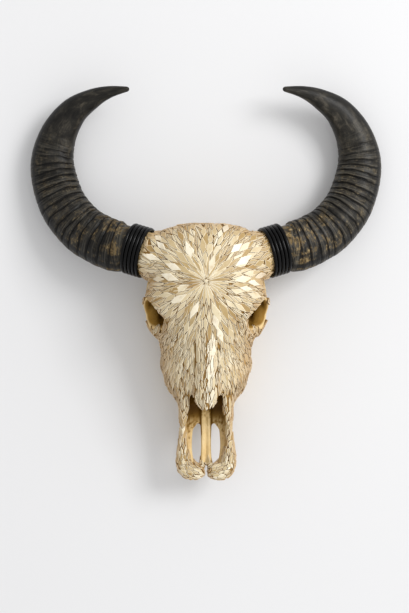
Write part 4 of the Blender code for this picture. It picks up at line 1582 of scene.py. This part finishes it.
def mark_bone(piece):
    directions = spread(DEPTH_RAYS)
    mesh = piece.data
    deep = mesh.attributes.new("bone_deep", "FLOAT", "POINT")
    tiled = mesh.attributes.new("bone_tiled", "FLOAT", "POINT")
    socket = mesh.attributes.new("bone_socket", "FLOAT", "POINT")
    for index, vert in enumerate(mesh.vertices):
        normal = vert.normal
        turn = facing(normal).to_3x3()
        start = vert.co + normal * 0.002
        hits = 0
        for direction in directions:
            if surface.ray_cast(start, turn @ direction, DEPTH_REACH)[0]:
                hits += 1
        # The share of rays that meet bone, and the nose's mark, become painted shade in the finish
        deep.data[index].value = max(hits / DEPTH_RAYS, nose_depth(vert.co))
        tiled.data[index].value = float(is_tiled(vert.co, normal))
        from_socket = mirrored(vert.co, math.copysign(1, vert.co.x)) - ORBIT_CENTRE
        inward = -from_socket.dot(ORBIT_FACING)
        beside = (from_socket + ORBIT_FACING * inward).length
        lined = min((ORBIT_RADIUS - beside) / 0.004, (SOCKET_DEPTH - inward) / 0.015, 1.0)
        socket.data[index].value = max(0.0, lined)


mark_bone(bone)
print("bone marked:", len(bone.data.vertices), "points")

# %% Bone, bare and under the chips
def bone_material():
    finish = Finish("bare bone", Roughness=0.5)
    here = finish.here()
    patches = finish.noise(here, 22.0, 6.0, 0.6)
    fine = finish.noise(here, 300.0, 4.0, 0.6)
    fibres = finish.noise(finish.stretched(here, (260.0, 30.0, 160.0)), 1.0, 3.0, 0.6)
    depth = finish.attribute("bone_deep")
    socket = finish.attribute("bone_socket").above(0.0, 1.0)
    tiled = finish.attribute("bone_tiled").above(0.2, 0.8)
    bare = finish.ramp(patches * 0.6 + fibres * 0.25 + fine * 0.15,
                       (0.25, tone(176, 138, 84)), (0.50, tone(212, 182, 126)),
                       (0.75, tone(232, 210, 164)))
    ochre = finish.ramp(patches, (0.3, tone(118, 86, 34)), (0.7, tone(158, 122, 58)))
    # Darker ochre in the sockets, partly the bone's own ochre, and in deep places, which is painted
    # shade
    lined = finish.mix(bare, ochre, socket.or_more(depth.above(0.25, 0.60)))
    # Dark brown where a point lies deep: painted shade in the hollows and the nose
    hollow = finish.mix(lined, tone(86, 58, 19), depth.above(0.36, 0.80) * (1 - socket * 0.3))
    glue = finish.ramp(fine, (0.3, tone(106, 76, 32)), (0.7, tone(164, 128, 66)))
    finish.set("Specular IOR Level", 0.5 - socket.or_more(depth.above(0.20, 0.55)) * 0.42)
    relief = fibres * 0.5 + fine * 0.3 + patches * 0.6
    roughness = 0.42 + fine * 0.25 + tiled * 0.2
    return finish.done(finish.mix(hollow, glue, tiled), roughness, relief, 0.0006, 0.6)


# %% [markdown]
# A chip's own shade decides most of its colour, from tan to nearly white. Its edge is painted
# paler, a painted highlight along the bevel, and its root is brown with glue. Chips on the steep
# sides of the
# face are painted darker and more ochre: painted shade.

# %% Bone chips
def chip_material():
    finish = Finish("bone chips", Roughness=0.35)
    shade = finish.attribute("chip_tone")
    spot = finish.attribute("chip_place", "Vector")
    rim = finish.attribute("chip_rim")
    cloud = finish.noise(spot, 60.0, 4.0, 0.6)
    grain = finish.noise(finish.stretched(spot, (60.0, 900.0, 10.0)), 1.0, 3.0, 0.6)
    pores = finish.noise(spot, 900.0, 3.0, 0.6)
    lid = finish.ramp(shade * 0.78 + cloud * 0.24 + grain * 0.14 - 0.08,
                      (0.0, tone(132, 100, 52)), (0.22, tone(166, 140, 92)),
                      (0.48, tone(190, 170, 130)), (0.74, tone(211, 196, 162)),
                      (0.92, tone(234, 226, 206)), (1.0, tone(247, 243, 234)))
    # Paler along each chip's bevel: a painted highlight
    edge_painted_highlight = rim.above(0.05, 0.6) * (1 - rim.above(1.02, 1.25))
    with_edge_highlight = finish.mix(lid, tone(246, 237, 214), edge_painted_highlight * 0.75)
    # Darker and more ochre on steep chips: painted shade where the sides turn from the light
    steep = finish.attribute("chip_steep").above(0.08, 0.65)
    steep_painted_shade = finish.mix(with_edge_highlight, tone(162, 118, 54), steep * 0.52)
    stain = finish.noise(finish.here(), 38.0, 5.0, 0.65).above(0.52, 0.72)
    stained = finish.mix(steep_painted_shade, tone(160, 120, 62), stain * 0.45)
    colour = finish.mix(stained, tone(108, 78, 34), rim.above(1.05, 1.5))
    roughness = 0.24 + pores * 0.30 + edge_painted_highlight * 0.1
    return finish.done(colour, roughness, grain * 0.7 + pores * 0.3, 0.0005, 0.5)


# %% Teeth, streaked from the root to the crown
def tooth_material():
    finish = Finish("tooth enamel", Roughness=0.3)
    crown = finish.attribute("tooth_crown")
    here = finish.here()
    growth = finish.noise(finish.stretched(here, (420.0, 420.0, 50.0)), 1.0, 4.0, 0.6)
    stain = finish.noise(here, 90.0, 5.0, 0.65)
    enamel = finish.ramp(growth * 0.5 + stain * 0.5, (0.36, tone(104, 76, 42)),
                         (0.50, tone(190, 164, 116)), (0.66, tone(234, 222, 192)))
    colour = finish.mix(enamel, tone(150, 116, 66), crown * 0.6)
    return finish.done(colour, 0.24 + stain * 0.25, growth, 0.0004, 0.5)


# %% [markdown]
# Horn is black, but not even. Slate grey shows through in places, and fine lines run along it. The
# old tip is polished. The dry base has flaked to tan, with charred patches between the flakes. The
# crests of the wrinkles are painted pale, a painted highlight, and their grooves near black, a
# painted
# shade. The keel along the outer edge is darkest, and the left horn is painted darker than the
# right:
# painted shade.

# %% Horn
def horn_material():
    finish = Finish("black horn", Roughness=0.4, Specular_IOR_Level=0.16)
    along = finish.attribute("horn_along")
    crest = finish.attribute("horn_crest")
    outer_edge = finish.attribute("horn_edge")
    run = finish.attribute("horn_grain", "Vector")

    def pattern(scale, detail, roughness, distortion=0.0):
        return finish.noise(finish.stretched(run, scale), 1.0, detail, roughness, distortion)

    fibres = pattern((620.0, 620.0, 40.0), 5.0, 0.65)
    growth = pattern((45.0, 45.0, 300.0), 5.0, 0.65, 0.8)
    flecks = pattern((120.0, 120.0, 210.0), 6.0, 0.72)
    rings = pattern((14.0, 14.0, 620.0), 3.0, 0.6)
    slate = pattern((34.0, 34.0, 60.0), 3.0, 0.5, 0.4).above(0.50, 0.62)
    blotches = finish.noise(run, 42.0, 6.0, 0.62, 0.5)
    old_horn = along.above(0.50, 0.72)
    young_horn = 1 - old_horn
    dry = 1 - along.above(0.04, 0.36)
    keel = outer_edge.above(0.30, 0.45) * (1 - outer_edge.above(0.62, 0.80))
    keel += outer_edge.above(0.90, 1.0)

    black = finish.ramp(fibres * 0.3 + growth * 0.4 + flecks * 0.3,
                        (0.40, tone(10, 9, 8)), (0.50, tone(36, 33, 28)),
                        (0.57, tone(70, 64, 52)), (0.66, tone(126, 116, 94)))
    polished = finish.ramp(blotches * 0.7 + fibres * 0.3, (0.36, tone(24, 23, 22)),
                           (0.52, tone(44, 42, 38)), (0.68, tone(82, 77, 68)))
    tan = finish.ramp(flecks * 0.7 + growth * 0.3, (0.38, tone(40, 31, 18)),
                      (0.48, tone(84, 68, 42)), (0.57, tone(130, 108, 70)),
                      (0.66, tone(196, 176, 134)))
    keratin = finish.mix(black, tone(74, 74, 72), slate * (0.25 + rings * 0.75) * 0.5)
    sheath = finish.mix(keratin, polished, old_horn)
    flaked = (blotches * 0.55 + flecks * 0.45 + dry * 0.05).above(0.52, 0.63) * young_horn
    body = finish.mix(sheath, tan, flaked * (1 - keel * 0.8) * (0.15 + dry * 0.70))
    burnt = (1 - blotches.above(0.42, 0.52)) * young_horn
    charred = finish.mix(body, tone(12, 11, 11), burnt * 0.75)
    # Paler on the crests of the wrinkles: a painted highlight
    high = crest.above(0.72, 1.0) * rings.above(0.42, 0.62) * young_horn
    with_crest_highlight = finish.mix(charred, tone(116, 111, 100), high * 0.38)
    # Near black in the grooves of the wrinkles: painted shade
    groove_painted_shade = (1 - crest.above(0.20, 0.80)) * young_horn
    with_groove_shade = finish.mix(with_crest_highlight, tone(5, 4, 4), groove_painted_shade * 0.96)
    keeled = finish.mix(with_groove_shade, tone(15, 14, 13), keel.held() * 0.75)
    # The left horn painted darker than the right: painted shade
    x = finish.node("ShaderNodeSeparateXYZ", {}, {"Vector": finish.here()})
    left_horn_painted_shade = 1 - x.above(-0.1, 0.1)
    colour = finish.mix(keeled, tone(8, 7, 5), left_horn_painted_shade * 0.30)
    roughness = (0.28 + blotches * 0.22 + flaked * dry * 0.3 - along * 0.06).held()
    relief = fibres * 0.25 + (growth * 0.3 + rings * 0.4) * young_horn
    relief += flecks * (0.15 + dry * 0.5)
    return finish.done(colour, roughness, relief, 0.0014, 0.8)


# %% Cord, scuffed along its run
def cord_material():
    finish = Finish("black cord", Specular_IOR_Level=0.15)
    run = finish.attribute("cord_run", "Vector")
    scuffs = finish.noise(finish.stretched(run, (2.0, 2.0, 90.0)), 1.0, 5.0, 0.65)
    colour = finish.ramp(scuffs, (0.35, tone(3, 3, 4)), (0.75, tone(14, 13, 13)))
    return finish.done(colour, 0.16 + scuffs * 0.16, scuffs, 0.0002, 0.4)


# %% Finishes laid on, and every piece tied to the plain model
horn_look = horn_material()
cord_look = cord_material()
dressed = (
    (bone, bone_material(), "bone", "skull"),
    (mosaic, chip_material(), "bone", "skull"),
    (tooth_piece, tooth_material(), "bone", "skull"),
    (horns[0], horn_look, "horn", "horn_left"),
    (horns[1], horn_look, "horn", "horn_right"),
    (bindings[0], cord_look, "cord", "binding_left"),
    (bindings[1], cord_look, "cord", "binding_right"),
)
for piece, material, slot, node in dressed:
    piece.data.materials.clear()
    piece.data.materials.append(material)
    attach(piece, "root")
    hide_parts(node)

# %% [markdown]
# ## Floor and light
#
# The skull lies on a pale floor. One large soft light stands high at the upper right, as in the
# picture, so shadows fall to the lower left. A bright room fills them, a little brighter to the
# right than to the left.

# %% Floor and light
KEY_PLACE = Vector((2.9, 1.5, 3.4))
KEY_TARGET = Vector((0.0, 0.0, 0.1))
KEY_SIZE = 1.9
KEY_WATTS = 128.0
ROOM_LIGHT = 0.94
BRIGHTER_TO_THE_RIGHT = 0.30

floor = bmesh.new()
bmesh.ops.create_grid(floor, x_segments=1, y_segments=1, size=4.0)
floor_piece = new_object("floor", floor)
floor_finish = Finish("pale floor", Base_Color=tone(213, 213, 214), Roughness=0.8)
floor_piece.data.materials.append(floor_finish.material)
floor_piece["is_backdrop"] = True

key = bpy.data.objects.new("key light", bpy.data.lights.new("key light", "AREA"))
key.data.size = KEY_SIZE
key.data.energy = KEY_WATTS
key.location = KEY_PLACE
key.rotation_euler = (KEY_TARGET - KEY_PLACE).to_track_quat("-Z", "Y").to_euler()
bpy.context.scene.collection.objects.link(key)

world = bpy.data.worlds.new("studio")
world.use_nodes = True
nodes = world.node_tree.nodes
background = nodes["Background"]
background.inputs["Color"].default_value = (1.0, 1.0, 1.0, 1.0)
direction = nodes.new("ShaderNodeTexCoord")
to_the_right = nodes.new("ShaderNodeSeparateXYZ")
brightness = nodes.new("ShaderNodeMath")
brightness.operation = "MULTIPLY_ADD"
brightness.inputs[1].default_value = ROOM_LIGHT * BRIGHTER_TO_THE_RIGHT
brightness.inputs[2].default_value = ROOM_LIGHT
world.node_tree.links.new(direction.outputs["Generated"], to_the_right.inputs["Vector"])
world.node_tree.links.new(to_the_right.outputs["X"], brightness.inputs[0])
world.node_tree.links.new(brightness.outputs["Value"], background.inputs["Strength"])
bpy.context.scene.world = world
bpy.context.scene.view_settings.view_transform = "Standard"

# %% The sizes, and the end
with_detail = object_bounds()
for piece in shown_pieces():
    low = [round(min(corner[axis] for corner in piece.bound_box), 4) for axis in range(3)]
    high = [round(max(corner[axis] for corner in piece.bound_box), 4) for axis in range(3)]
    count = sum(len(face.vertices) - 2 for face in piece.data.polygons)
    print(piece.name, low, high, count, "triangles")
tell_box("detailed model", with_detail)
